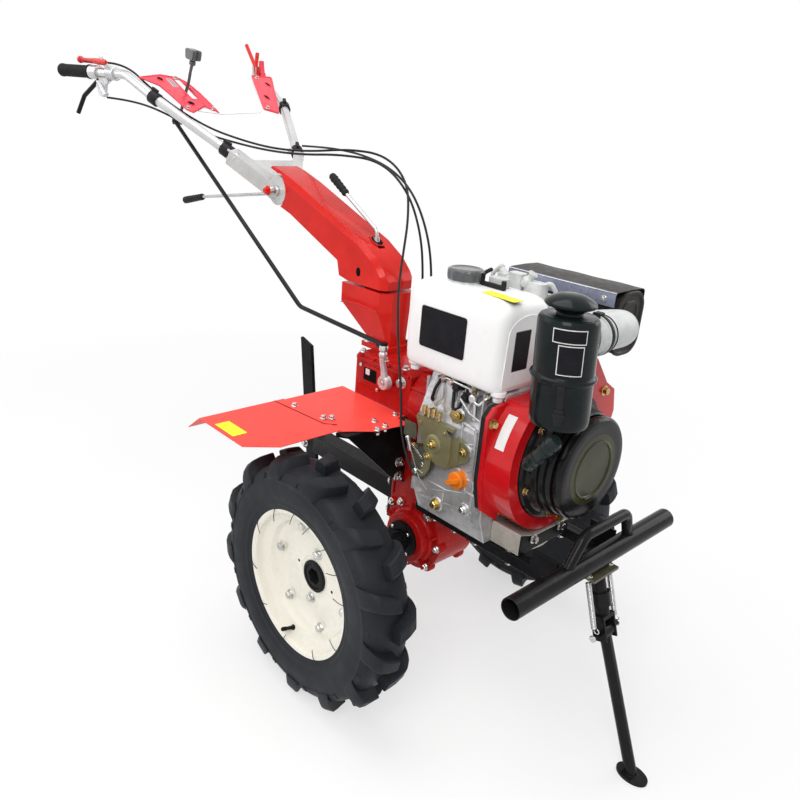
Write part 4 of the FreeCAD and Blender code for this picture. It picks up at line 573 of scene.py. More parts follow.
def make_tyre(side):
    """A tyre: a carcass turned from its section, two rows of lugs half a pitch apart, fine ribs and
    mould lines on the sidewalls and small pads between the lugs on the shoulder."""
    tread = bpy.context.scene.weeder_tread
    middle, out = wheel_frame(side)
    blank = Blank()
    half = np.array([(154.5, 37.5), (157.5, 44), (162.5, 46.2), (164, 47), (166, 46.5), (172, 49.2),
        (173.5, 50), (175.5, 49.6), (185, 52.5), (195, 54), (208, 55), (218, 54.8), (225, 54),
        (226.2, 54.6), (228, 53.6), (236, 51.5), (243, 47), (247.5, 40), (250, 30), (251.2, 16),
        (251.5, 0)]) / 1000
    outer = np.concatenate([half, half[-2::-1] * [1, -1]])
    inner = np.array([(154.5, -30), (164, -38), (185, -44), (208, -46), (230, -42), (240, -30), (243, 0),
        (240, 30), (230, 42), (208, 46), (185, 44), (164, 38), (154.5, 30)]) / 1000
    section = np.concatenate([outer, inner])
    turn = np.linspace(0, 2 * math.pi, 120, endpoint=False)[:, None]
    blank.grid(on_wheel(middle, out, turn, section[None, :, 0], section[None, :, 1]), 0, loop_rows=True,
        loop_columns=True)
    pitch = 2 * math.pi / tread.lugs
    start = math.radians(45)
    for k in range(tread.lugs):
        for hand, shift in ((1, 0.0), (-1, 0.5)):
            tread_lug(blank, middle, out, start + (k + shift) * pitch, hand, tread, 0)
            pad = start + (k + shift + 0.62) * pitch
            spread = np.array([-1, -0.8, 0.8, 1])[None, :]
            rise = np.array([0, 1, 1, 0])[None, :]
            along = np.array([0.2290, 0.2300, 0.2385, 0.2395])[:, None]
            crest = np.array([0, 1, 1, 0])[:, None]
            wall = np.interp(along, [0.228, 0.236, 0.243], [0.0536, 0.0515, 0.0470])
            points = on_wheel(middle, out, pad + spread * 0.030, along,
                hand * (wall - 0.001 + 0.0032 * rise * crest))
            blank.grid(points, 0)
    return make_piece("tyre_%s_rubber" % side, blank, "tyre_rubber tyre_edge", "wheel_" + side,
        ("tyre_" + side,), angle=40)


def make_rim(side):
    """A rim: a drop-centre section with a dished disc turned about the axle, with bolts, a hub
    ring and a valve."""
    middle, out = wheel_frame(side)
    blank = Blank()
    section = np.array([(34.5, -6.8), (44, -6.8), (45.2, -6), (46.4, -6.8), (78, -6.8), (99, -6.8),
        (106, -5), (112, -1), (118, 3.5), (123.5, 5), (126.2, 7.8), (127.5, 12), (130, 17), (140, 21.5),
        (144.5, 23.2), (148, 26.2), (149.4, 33), (150, 40.5), (153.5, 43.8), (160, 45.2), (166, 46.2),
        (169.5, 47), (171.5, 45.5), (171.4, 43), (169, 42), (160, 40.5), (154.3, 38.5), (153.7, 30),
        (153, 23.5), (130, 15), (128, 13), (128, -15), (153, -24), (153.7, -30), (154.3, -38.5),
        (160, -40.5), (169, -42), (171.4, -43), (171.5, -45.5), (169.5, -47), (160, -45.2), (153.5, -43.8),
        (150, -40.5), (148.5, -28), (125, -18.5), (124, -16), (124, -2), (118, -3), (106, -11.5),
        (99, -12.5), (34.5, -12.5)]) / 1000
    turn = np.linspace(0, 2 * math.pi, 128, endpoint=False)[:, None]
    blank.grid(on_wheel(middle, out, turn, section[None, :, 0], section[None, :, 1]), 0, loop_rows=True,
        loop_columns=True)
    for k in range(6):
        angle = math.radians(49 + 60 * k)
        place = on_wheel(middle, out, angle, 0.1115, -0.0012)
        turned(blank, boss(0.0125, 0.0012, 0.0118, 0.0020), place, out, 20)
        bolt(blank, place + out * 0.0016, out, 0.0145, 1)
    for k, kind in enumerate((1, 0, 1, 0)):
        angle = math.radians(82 + 90 * k)
        place = on_wheel(middle, out, angle, 0.058, -0.0070)
        if kind:
            bolt(blank, place, out, 0.0150, 1)
        else:
            turned(blank, [(0, 0.0004), (0.0034, 0.0004), (0.0036, 0.0), (0.0036, -0.001), (0, -0.001)],
                place, out, 14, 3)
    ring = middle + out * -0.0070
    turned(blank, [(0.0268, 0.0), (0.0350, 0.0), (0.0354, 0.0040), (0.0330, 0.0058), (0.0285, 0.0060),
        (0.0275, 0.0050), (0.0268, 0.0)], ring, out, 40, 2)
    foot = on_wheel(middle, out, math.radians(-103), 0.1420, 0.0205)
    lean = unit(on_wheel(middle, out, math.radians(-103), 0.1340, 0.0420) - foot)
    turned(blank, [(0, -0.004), (0.0062, -0.004), (0.0064, 0.002), (0.0042, 0.006), (0.0038, 0.022),
        (0.0046, 0.023), (0.0046, 0.033), (0.0036, 0.035), (0, 0.035)], foot, lean, 16, 2)
    turned(blank, [(0, 0.0), (0.0098, 0.0), (0.0098, 0.0016), (0, 0.0016)], foot - lean * 0.003, lean, 20,
        3)
    return make_piece("rim_%s_steel" % side, blank, "cream_paint zinc black_paint shadow_gap",
        "wheel_" + side, ("rim_" + side,), angle=28)


def make_wheel_trim(side):
    """Edge-rounded hub and axle with the hub's cross bolts."""
    dress_node("hub_" + side, "black_paint", 0.0008)
    dress_node("axle_" + side, "black_paint", 0.0006)
    blank = Blank()
    middle, out = wheel_frame(side)
    inner = np.array([middle[0], SIDES[side] * 0.200, middle[2]])
    for angle in (0.4, 0.4 + math.pi):
        up = np.array([math.cos(angle), 0, math.sin(angle)])
        bolt(blank, inner + up * 0.0262, up, 0.013)
        bolt(blank, inner + up * 0.0262 - out * 0.024, up, 0.013)
    for angle in np.arange(4) * math.pi / 2 + 0.785:
        bolt(blank, on_wheel(middle, out, angle, 0.060, -0.0200), -out, 0.015)
    make_piece("hub_%s_bolts" % side, blank, "zinc", "wheel_" + side)
    blank = Blank()
    for angle in (0.25, 0.62, 0.95, 1.30, 1.62, 2.05, 2.6, 3.3, 3.9, 4.5, 5.2, 5.8):
        line = [on_wheel(middle, out, angle + sway, radius, lift) for sway, radius,
            lift in ((0, 0.166, 0.042), (0.01, 0.160, 0.0475), (0.04, 0.149, 0.050), (0.075, 0.137, 0.050))]
        bar(blank, eased(np.array(line), 8, 3), 0.0008, 6)
    return make_piece("tyre_%s_hairs" % side, blank, "black_rubber", "wheel_" + side)


# ---------------------------------------------------------------------------
# Engine
# ---------------------------------------------------------------------------
X_AXIS, Y_AXIS, Z_AXIS = np.eye(3)


def slab(blank, outer, inner, look=0):
    """A closed sheet between two grids of points, with its edges shut."""
    blank.grid(np.concatenate([outer, inner[:, ::-1]], axis=1), look, loop_columns=True, caps=True)


def wrapped(blank, axis_at, radius, low, high, first, last, look, lift):
    """A thin sheet wrapped on an upright drum: x and y follow the circle's cosine and sine from the
    first angle to the last, z runs from low to high. Millimetres and degrees."""
    turn = np.radians(np.linspace(first, last, 17))[None, :]
    rise = np.array([[low], [high]])

    def shell(r):
        x = axis_at[0] + r * np.cos(turn) + 0 * rise
        y = axis_at[1] + r * np.sin(turn) + 0 * rise
        return spots(np.stack([x, y, rise + 0 * turn], axis=-1))
    slab(blank, shell(radius + lift), shell(radius - 0.4), look)


def sticker(blank, place, right, up, width, height, looks, radius=4, rim=1.6, lift=0.4, tilt=0.0):
    """A blank bordered label on a flat face: two thin plates with rounded corners, one on the other."""
    right, up = np.asarray(right, dtype=float), np.asarray(up, dtype=float)
    turn = math.radians(tilt)
    right, up = math.cos(turn) * right + math.sin(turn) * up, math.cos(turn) * up - math.sin(turn) * right
    for inset, look, thick in ((0, looks[0], lift), (rim, looks[1], lift + 0.15)):
        outline = rounded((width - 2 * inset) / 1000, (height - 2 * inset) / 1000,
            max(radius - inset, 0.6) / 1000)
        prism(blank, outline, spots(place), right, up, thick / 1000, look)


def plate(blank, outline, place, right, up, depth, look=0):
    """A flat plate from an outline in millimetres along two directions, carried by a depth."""
    prism(blank, np.asarray(outline, dtype=float) / 1000, spots(place), right, up, depth / 1000, look)


def wall(blank, outline, y, depth, look=0):
    """A flat plate on a side wall: its outline is in x and z, its outer or inner face at y."""
    plate(blank, outline, (0, y, 0), X_AXIS, Z_AXIS, depth, look)


def rod(blank, points, radius, look=0, sides=14, bend=12, flat=False):
    """A round rod in millimetres along straight runs with rounded corners."""
    points = np.asarray(points, dtype=float)
    line = points if len(points) < 3 or flat else cornered(points, bend)
    bar(blank, spots(line), radius / 1000, sides, look)


def spun(blank, profile, place, axis=(0, 0, 1), sides=48, look=0, start=0.0):
    """A turned shape from pairs (radius, distance along the axis) in millimetres."""
    turned(blank, np.asarray(profile, dtype=float) / 1000, spots(place), axis, sides, look, start)


def boss(radius, height, crown, top):
    """The profile of a round boss with a chamfered crown."""
    return [(0, 0), (radius, 0), (radius, height), (crown, top), (0, top)]


def head(blank, place, out, size, look=0, washer=True, stud=0.0):
    """A bolt head in millimetres."""
    bolt(blank, spots(place), out, size / 1000, look, washer, stud / 1000)


def loft(blank, sections, look=0, caps=True):
    """A skin over rings of points in millimetres that all have the same number of points."""
    blank.grid(spots(np.stack(sections)), look, loop_columns=True, caps=caps)


def make_crankcase():
    """The crankcase casting with its ribs, lobes, bosses, bolts and gasket."""
    trim = bpy.context.scene.weeder_trim
    dress_node("crankcase", "cast_aluminium", trim.edge, steps=3)
    blank = Blank()
    side = (0, -1, 0)
    for x, low, high, width, thick in ((238, 450, 668, 8, 6), (222, 520, 640, 5, 5), (66, 452, 480, 8, 5),
            (78, 590, 640, 9, 7)):
        plate(blank, [(-width / 2, low), (width / 2, low), (width / 2 - 1.2, high),
            (1.2 - width / 2, high)], (x, -139.5, 0), X_AXIS, Z_AXIS, thick)
    frame_line = [(182, 604), (216, 598), (216, 640), (182, 646)]
    for a, b in zip(frame_line, frame_line[1:] + frame_line[:1]):
        rod(blank, [(a[0], -139.5, a[1]), (b[0], -139.5, b[1])], 3.2, sides=8)
    lower_line = [(189, 505), (236, 505), (240, 532), (189, 532)]
    for a, b in zip(lower_line, lower_line[1:] + lower_line[:1]):
        rod(blank, [(a[0], -139.5, a[1]), (b[0], -139.5, b[1])], 2.8, sides=8)
    for run in (((226, 706), (226, 470), (238, 452)), ((226, 660), (196, 668), (168, 690)),
            ((226, 612), (204, 606)), ((226, 560), (206, 548), (206, 500)),
            ((206, 500), (160, 486), (96, 486)), ((96, 486), (84, 520)), ((150, 486), (150, 444)),
            ((120, 700), (120, 676), (104, 660))):
        rod(blank, [(x, -139.6, z) for x, z in run], 2.6, sides=10, bend=6)
    rod(blank, [(80, -136, 440), (150, -137, 452), (246, -137, 474)], 4, sides=8)
    rod(blank, [(120, -139, 470), (186, -139, 492)], 3, sides=8)
    for x, low, high, radius in ((99, 640, 706, 15), (128, 636, 716, 16), (158, 652, 700, 9)):
        spun(blank, [(0, low), (radius * 0.7, low), (radius, low + 6), (radius, high - 12),
            (radius * 0.86, high - 4), (radius * 0.5, high), (0, high)], (x, -118, 0), Z_AXIS, 28)
    for x in (92, 108, 122, 138, 152, 168, 184, 200, 216):
        plate(blank, [(-1.6, 640), (1.6, 640), (1.2, 712), (-1.2, 712)], (x, -112, 0), X_AXIS, Z_AXIS, 16)
    for place, radius in (((136, -139, 445), 15), ((211, -139, 467), 13), ((178, -139, 526), 22),
            ((201, -139, 591), 12), ((172, -139, 658), 11), ((92, -139, 520), 12)):
        spun(blank, [(0, 0), (radius + 2, 0), (radius, 3), (radius - 1, 4), (0, 4)], place, side, 28)
    for z in (470, 500, 530, 560, 590, 620, 650, 680, 704):
        plate(blank, [(70, z), (242, z), (242, z + 3), (70, z + 3)], (0, 109.5, 0), X_AXIS, Z_AXIS, -7)
    for y in (-118, -60, 0, 60, 96):
        plate(blank, [(y - 3, 440), (y + 3, 440), (y + 3, 700), (y - 3, 700)], (62.5, 0, 0), Y_AXIS,
            Z_AXIS, -5)
    make_piece("crankcase_ribs", blank, "cast_aluminium", "frame", edge=0.0008)

    blank = Blank()
    outline = [(-101, 454), (-149, 490), (-163, 553), (-163, 684), (-147, 702), (-90, 710), (-60, 704),
        (-60, 460)]
    plate(blank, outline, (243, 0, 0), Y_AXIS, Z_AXIS, 10.9)
    make_piece("crankcase_gasket", blank, "black_rubber", "frame", edge=0.001)

    blank = Blank()
    head(blank, (136, -143, 445), side, 15)
    head(blank, (211, -143, 467), side, 12, 1)
    head(blank, (201, -152, 591), side, 10)
    head(blank, (172, -149, 658), side, 10)
    head(blank, (92, -143, 520), side, 10, 1)
    wall(blank, [(150, 652), (153, 664), (186, 664), (190, 654), (173, 640), (160, 640)], -144, 2)
    for place in ((238, -146, 655), (240, -146, 520)):
        head(blank, place, side, 9, 1, False)
    make_piece("crankcase_bolts", blank, "gold_bolt zinc", "frame")


def make_pump():
    """Injection pump, its pipes and the fittings under the tank."""
    blank = Blank()
    side = (0, -1, 0)
    spun(blank, [(0, 0), (11, 0), (12, 3), (12, 14), (10, 16), (7, 17), (7, 24), (0, 24)],
        (172, -112, 692), side, 24, 1)
    spun(blank, [(0, 0), (7, 0), (7, 18), (8, 19), (8, 26), (6, 27), (0, 27)], (150, -112, 706), side, 18,
        1)
    spun(blank, [(0, 0), (6, 0), (6, 20), (9, 21), (9, 26), (6, 28), (0, 28)], (199, -116, 699), side, 18)
    spun(blank, [(0, 0), (5, 0), (5, 34), (7, 35), (7, 42), (4, 44), (0, 44)], (201, -134, 700),
        (0.1, 0, -1), 16)
    for x, z, length in ((110, 712, 26), (138, 713, 30), (186, 711, 22), (222, 704, 18)):
        spun(blank, [(0, 0), (6, 0), (6, length - 4), (4, length), (0, length)], (x, -112, z), side, 12)
        spun(blank, [(0, 0), (8, 0), (8, 5), (0, 5)], (x, -112 - length * 0.5, z), side, 6, 2)
    rod(blank, [(172, -134, 690), (166, -140, 668), (150, -138, 660), (140, -128, 690), (126, -120, 712)],
        3.2, 1)
    rod(blank, [(199, -140, 698), (216, -142, 690), (226, -134, 706), (230, -116, 716)], 3.0)
    rod(blank, [(186, -130, 712), (160, -136, 716), (120, -132, 716), (96, -118, 700)], 2.6)
    rod(blank, [(110, -136, 712), (102, -142, 690), (90, -136, 664), (84, -120, 650)], 3.4, 1)
    make_piece("pump_pipes", blank, "spring_steel black_plastic brass", "frame")


def make_governor():
    """The governor's folded plates, levers, springs and cable end, on the CAD plate's place."""
    blank = Blank()
    side = (0, -1, 0)
    main = [(67, 622), (100, 626), (146, 622), (166, 607), (168, 560), (163, 541), (135, 537), (109, 545),
        (92, 566), (80, 590)]
    wall(blank, main, -150.5, 2.0)
    wall(blank, [(66, 619), (168, 619), (168, 626), (66, 626)], -140.5, 9)
    wall(blank, [(163, 604), (166, 604), (166, 540), (163, 540)], -138.5, 12)
    wall(blank, [(166, 604), (180, 614), (196, 606), (210, 594), (210, 572), (188, 556), (166, 540)],
        -143.5, 2.0)
    wall(blank, [(184, 606), (187, 606), (187, 560), (184, 560)], -145.0, 5)
    wall(blank, [(82, 562), (115, 571), (128, 545), (121, 522), (107, 504), (98, 486), (74, 486),
        (60, 508), (60, 540)], -146.0, 2.0, 1)
    wall(blank, [(98, 548), (110, 560), (121, 548), (118, 520), (106, 500), (92, 494), (86, 504),
        (98, 514), (104, 530)], -153.0, 2.0)
    wall(blank, [(56, 552), (62, 553), (98, 566), (96, 571), (60, 560)], -154.0, 1.8, 2)
    wall(blank, [(62, 600), (66, 590), (66, 566), (30, 566), (30, 600)], -146.0, 1.6, 1)
    spun(blank, [(0, 0), (20, 0), (20, 1.2), (17, 2.6), (11, 3), (0, 3)], (122, -152.5, 579), side, 32)
    head(blank, (122, -155, 579), side, 11, 2, True, 6)
    head(blank, (112, -155, 548), side, 8, 2, True, 4)
    head(blank, (150, -152.5, 613), side, 7, 0, False)
    head(blank, (82, -152.5, 613), side, 7, 0, False)
    for place in ((100, -151, 630), (112, -149, 634), (86, -149, 632), (126, -148, 630)):
        spun(blank, [(0, 0), (4, 0), (4, 12), (6, 13), (6, 18), (0, 18)], place, (0, 0, 1), 12, 2)
    turn = np.linspace(0, 2 * math.pi * 11, 260)
    along = np.linspace(0, 1, 260)[:, None]
    start, end = np.array([100.0, -157, 538]), np.array([66.0, -157, 560])
    heading = unit(end - start)
    across, other = np.array([0, -1.0, 0]), np.cross(heading, [0, -1.0, 0])
    coil = start + (end - start) * along + 3.0 * (np.cos(turn)[:, None] * across + np.sin(turn)[:, None]
        * other)
    bar(blank, spots(coil), 0.0006, 6, 3)
    rod(blank, [(64, -158, 549), (84, -158, 512), (96, -158, 494), (120, -156, 474)], 1.3, 3, 8)
    rod(blank, [(80, -158, 506), (92, -160, 512), (106, -158, 508)], 1.2, 3, 8)
    spun(blank, [(0, 0), (6, 0), (6.5, 6), (5, 8), (0, 8)], (85, -156, 506), side, 14, 3)
    spun(blank, [(0, 0), (4.2, 0), (4.2, 22), (5.4, 23), (5.4, 30), (3.6, 32), (0, 32)], (66, -160, 545),
        unit([-10, -2, 30]), 14, 3)
    make_piece("governor_plates", blank, "yellow_zinc dull_zinc gold_bolt spring_steel", "frame",
        ("governor_plate",), angle=28)


def make_cylinder_head():
    """The finned head and its rocker cover."""
    blank = Blank()
    dress_node("cylinder_head", "cast_aluminium", 0.0015)
    low, high = (np.array(c) * 1000 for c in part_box("cylinder_head"))
    x0, x1 = low[0] - AXLE_X * 1000, high[0] - AXLE_X * 1000
    for z in np.arange(low[2] + 6, high[2] - 30, 9):
        plate(blank, [(x0 - 5, low[1] + 2), (x1 + 5, low[1] + 2), (x1 + 5, high[1] + 6),
            (x0 - 5, high[1] + 6)], (0, 0, z), X_AXIS, Y_AXIS, 2.6)
    top = high[2]
    for x in np.linspace(x0 + 22, x1 - 22, 3):
        for y in (low[1] + 18, high[1] - 18):
            head(blank, (x, y, top - 0.5), Z_AXIS, 10, 1)
    plate(blank, [(x0 + 26, low[1] + 30), (x1 - 26, low[1] + 30), (x1 - 26, high[1] - 30),
        (x0 + 26, high[1] - 30)], (0, 0, top - 0.5), X_AXIS, Y_AXIS, 3)
    make_piece("head_fins", blank, "cast_aluminium zinc", "frame")


def make_shroud():
    """The red fan shroud with its bolts and a blank label."""
    dress_node("blower_shroud", "red_gloss", 0.005, steps=4)
    blank = Blank()
    front = (1, 0, 0)
    for place in ((262, -150, 673), (262, -86, 468), (322, 30, 446), (322, -36, 740), (322, 120, 706)):
        head(blank, place, front, 13)
    make_piece("shroud_bolts", blank, "gold_bolt", "frame")
    blank = Blank()
    drum = np.radians(np.linspace(141, 166, 6))[None, :]
    x = np.array([[276.0], [297.0]])

    def label(r):
        return spots(np.stack([x + 0 * drum, r * np.cos(drum) + 0 * x, 593 + r * np.sin(drum) + 0 * x],
            axis=-1))
    slab(blank, label(158.6), label(157.0))
    make_piece("shroud_label", blank, "label_white", "frame")


def make_starter():
    """The recoil starter: flange, vented drum, glossy disc and its pull handle."""
    blank = Blank()
    base = (0, 0, 593)
    spun(blank, [(0, 298.5), (128, 298.5), (130, 301), (130, 324), (127, 328), (118, 330), (114, 334),
        (113, 338), (112, 346), (106, 349), (105, 353), (110, 355), (109, 361), (103, 363), (102, 367),
        (106, 369), (104, 374), (0, 374)], base, X_AXIS, 72)
    for k in range(24):
        turn = 2 * math.pi * k / 24
        out = np.array([0, math.cos(turn), math.sin(turn)])
        tangent = np.cross(X_AXIS, out)
        prism(blank, np.array([(-0.0020, 0.0), (0.0020, 0.0), (0.0014, 0.017), (-0.0014, 0.017)]),
            spots((336, 0, 593) + out * 98), tangent, out, 0.034)
    for degrees in (-100, -40, 20, 80, 140, 200):
        turn = math.radians(degrees)
        place = (329, 120 * math.cos(turn), 593 + 120 * math.sin(turn))
        head(blank, place, X_AXIS, 10, 1)
    make_piece("starter_drum", blank, "starter_black gold_bolt", "frame",
        ("recoil_starter",), angle=30)
    blank = Blank()
    spun(blank, [(0, 375), (92, 375), (99, 377), (103, 380), (104.5, 384), (104.5, 389), (103, 393),
        (99, 396.5), (92, 397.8), (84, 397.2), (72, 397.0)], base, X_AXIS, 96)
    # The inner dish is tinted olive: a painted reflection on the black disc.
    spun(blank, [(72, 397.0), (62, 397.2), (59.5, 398.6), (57.5, 399.2), (55.5, 398.4), (54, 396.6),
        (40, 396.2), (0, 396.0)], base, X_AXIS, 96, 1)
    make_piece("starter_disc", blank, "starter_black starter_enamel", "frame",
        ("starter_cover",), angle=24)
    blank = Blank()
    line = np.array([(354, -157, 627), (358, -157, 632), (381, -157, 663), (404, -157, 694),
        (407, -157, 698)], dtype=float)
    bar(blank, spots(line), np.array([0.0100, 0.0140, 0.0120, 0.0140, 0.0105]))
    for t in (0.2, 0.35, 0.65, 0.8):
        place = line[0] + (line[-1] - line[0]) * t
        spun(blank, [(11.6, -2.4), (13.9, -1.6), (13.9, 1.6), (11.6, 2.4)], place,
            unit(line[-1] - line[0]), 20)
    spun(blank, [(0, 0), (9, 0), (7, 10), (5, 14), (5, 62), (9, 66), (12, 70), (0, 70)], (378, -149, 660),
        unit([-17, 61, -35]), 16)
    make_piece("starter_grip", blank, "grip_green", "frame", ("starter_handle",), angle=40)


def make_tank_shell():
    """The tank: rounded sections stacked up, an arched panel, feet and a neck."""
    blank = Blank()
    middle = np.array([125.85, -68.0])
    sections = []
    for z, inset, corner in ((720.5, 13, 16), (722, 7, 20), (726, 2.6, 24), (733, 0.4, 26), (745, 0, 26),
            (800, -1.2, 26), (850, -0.6, 26), (866, 0.4, 27), (876, 2.4, 29), (884, 6, 30),
            (890, 11.5, 32), (894, 19, 34), (896, 30, 30), (896.6, 44, 22)):
        outline = rounded(255.7 - 2 * inset, 148 - 2 * inset, corner, 7) + middle
        sections.append(np.column_stack([outline, np.full(len(outline), z)]))
    loft(blank, sections)
    arch = [(-126, 734), (-20, 734), (-14, 742), (-14, 838)] + [(-70 + 56 * math.cos(t),
        838 + 32 * math.sin(t)) for t in np.linspace(0.12, math.pi - 0.12, 14)] + [(-126, 838), (-130, 742)]
    plate(blank, arch, (252.4, 0, 0), Y_AXIS, Z_AXIS, 2.6)
    for place in ((243, -120, 704), (230, -27, 700), (20, -120, 704), (20, -20, 704)):
        spun(blank, [(0, 0), (9, 0), (10, 3), (10, 9), (15, 14), (15, 22), (0, 22)], place, Z_AXIS, 20)
    plate(blank, [(-60, 698), (-8, 698), (-4, 722), (-64, 722)], (214, 0, 0), Y_AXIS, Z_AXIS, 34)
    spun(blank, [(40, 892), (39, 896.5), (34, 898), (31, 899), (33, 900), (33, 902), (30, 903), (30, 908),
        (0, 908)], (88, -72, 0), Z_AXIS, 40)
    make_piece("tank_shell", blank, "tank_plastic", "frame", ("fuel_tank",), edge=0.0010,
        angle=34)


def make_tank_labels():
    """Blank labels on two faces and on top."""
    blank = Blank()
    sticker(blank, (107, -143.0, 808), X_AXIS, Z_AXIS, 124, 86, (2, 0), 8, 1.8)
    sticker(blank, (254.8, -85, 803), Y_AXIS, Z_AXIS, 46, 78, (3, 0), 3, 1.0)
    sticker(blank, (208, -102, 896.4), X_AXIS, Y_AXIS, 84, 27, (1, 1), 2, 0.8, 0.6, -4)
    make_piece("tank_labels", blank, "label_black label_yellow label_white label_grey", "frame")


def make_tank_lid():
    """The cap: rings whose rim is lobed by a clipped cosine."""
    blank = Blank()
    turn = np.arange(96) * 2 * math.pi / 96
    lobes = np.clip(np.cos(turn * 12) * 1.6, -0.7, 0.9)
    rings = []
    for r, z, wave in ((0.1, 901, 0), (33, 901, 0), (35.5, 902, 0.6), (36, 904, 1), (36, 918, 1),
            (35, 921, 0.8), (32.5, 923, 0.2), (30, 923.4, 0), (28, 922.2, 0), (12, 922.0, 0),
            (0.1, 922.0, 0)):
        reach = r + wave * lobes
        rings.append(np.stack([88 + reach * np.cos(turn), -72 + reach * np.sin(turn),
            np.full(96, float(z))], axis=-1))
    loft(blank, rings)
    make_piece("tank_lid", blank, "cap_black", "frame", ("tank_cap",), angle=35)


def make_tank_clip():
    """The clip beside the cap."""
    blank = Blank()
    rod(blank, [(112, -48, 897), (112, -48, 916), (112, -24, 922)], 4)
    plate(blank, [(-30, -4), (30, -4), (30, 4), (-30, 4)], (150, -62, 896), X_AXIS, Y_AXIS, 9)
    plate(blank, [(-30, -4), (-23, -4), (-23, 4), (-30, 4)], (150, -62, 905), X_AXIS, Y_AXIS, 15)
    plate(blank, [(23, -4), (30, -4), (30, 4), (23, 4)], (150, -62, 905), X_AXIS, Y_AXIS, 10)
    make_piece("tank_clip", blank, "black_plastic", "frame", edge=0.0012)


def make_tank_fittings():
    """Clear pipe stubs and hoses behind the cap."""
    blank = Blank()
    for outline, place, height in ((rounded(40, 22, 6), (150, -44, 897), 18),
            (rounded(48, 26, 9), (206, 0, 884), 30), (rounded(34, 24, 8), (162, -4, 890), 34),
            (rounded(26, 20, 6), (124, 2, 890), 26)):
        plate(blank, outline, place, X_AXIS, Y_AXIS, height)
    spun(blank, [(0, 0), (9, 0), (11, 4), (11, 16), (7, 20), (7, 26), (10, 28), (10, 32), (0, 32)],
        (182, -8, 902), (0.5, 0.2, 0.85), 20)
    spun(blank, [(0, 0), (7, 0), (7, 30), (9, 31), (9, 36), (0, 36)], (140, 0, 905), (-0.8, 0.1, 0.5), 18)
    rod(blank, [(216, 4, 905), (232, 8, 918), (240, 18, 900), (238, 24, 870)], 4.5)
    rod(blank, [(126, -2, 912), (110, 6, 924), (88, 10, 908), (84, 16, 880)], 4.5)
    make_piece("tank_fittings", blank, "clear_plastic", "frame", edge=0.0018)


def make_tank():
    """The moulded tank: rounded sections stacked up, bulged faces, an arched panel, feet, a neck,
    blank labels and its cap."""
    make_tank_shell()
    make_tank_labels()
    make_tank_lid()
    make_tank_clip()
    make_tank_fittings()


def lean_over(blank):
    """Lean the canister's points a little back over their height above its middle."""
    for points in blank.points:
        points[:, :2] -= (points[:, 2:] - 0.80) * np.array([0.037, 0.038])


def make_cleaner():
    """The air cleaner: a turned canister with a joint ring, a neck and a domed hood, a latch and
    blank labels."""
    at = (376, -122)
    blank = Blank()
    spun(blank, [(0, 712), (44, 712), (50, 714), (52.4, 719), (52.8, 728), (53, 792), (54, 795), (57, 798),
        (58, 801), (57, 804), (54, 806), (52.8, 808), (52.8, 894), (52, 899), (49, 904), (45, 906),
        (26, 906), (23, 907), (22, 911), (26, 913), (27, 916), (26, 918), (22, 919), (22, 922),
        (38, 920.5), (42, 921.5), (44, 924), (43.5, 927), (40, 930.5), (33, 935), (24, 939), (16, 941.3),
        (0, 942)], (*at, 0), Z_AXIS, 72)
    lean_over(blank)
    make_piece("cleaner_can", blank, "black_enamel", "frame", ("air_cleaner",), angle=26)
    blank = Blank()
    facing = -57.3
    for low, high, half, lift, look in ((748, 803, 6.0, 3.0, 0), (730, 752, 8.0, 4.5, 0),
            (738, 744, 10.0, 6.5, 0), (722, 730, 7.0, 3.0, 0)):
        wrapped(blank, at, 52.8, low + 4, high + 4, facing - half, facing + half, look, lift)
    lean_over(blank)
    make_piece("cleaner_latch", blank, "black_plastic", "frame", edge=0.0010)
    blank = Blank()
    for low, high, first, last in ((869, 893, -25, 38), (815, 866, -13, 35)):
        wrapped(blank, at, 52.8, low, high, facing + first, facing + last, 0, 0.35)
        wrapped(blank, at, 52.8, low + 1.6, high - 1.6, facing + first + 1.7, facing + last - 1.7, 1, 0.5)
    lean_over(blank)
    make_piece("cleaner_labels", blank, "label_white label_dark", "frame")


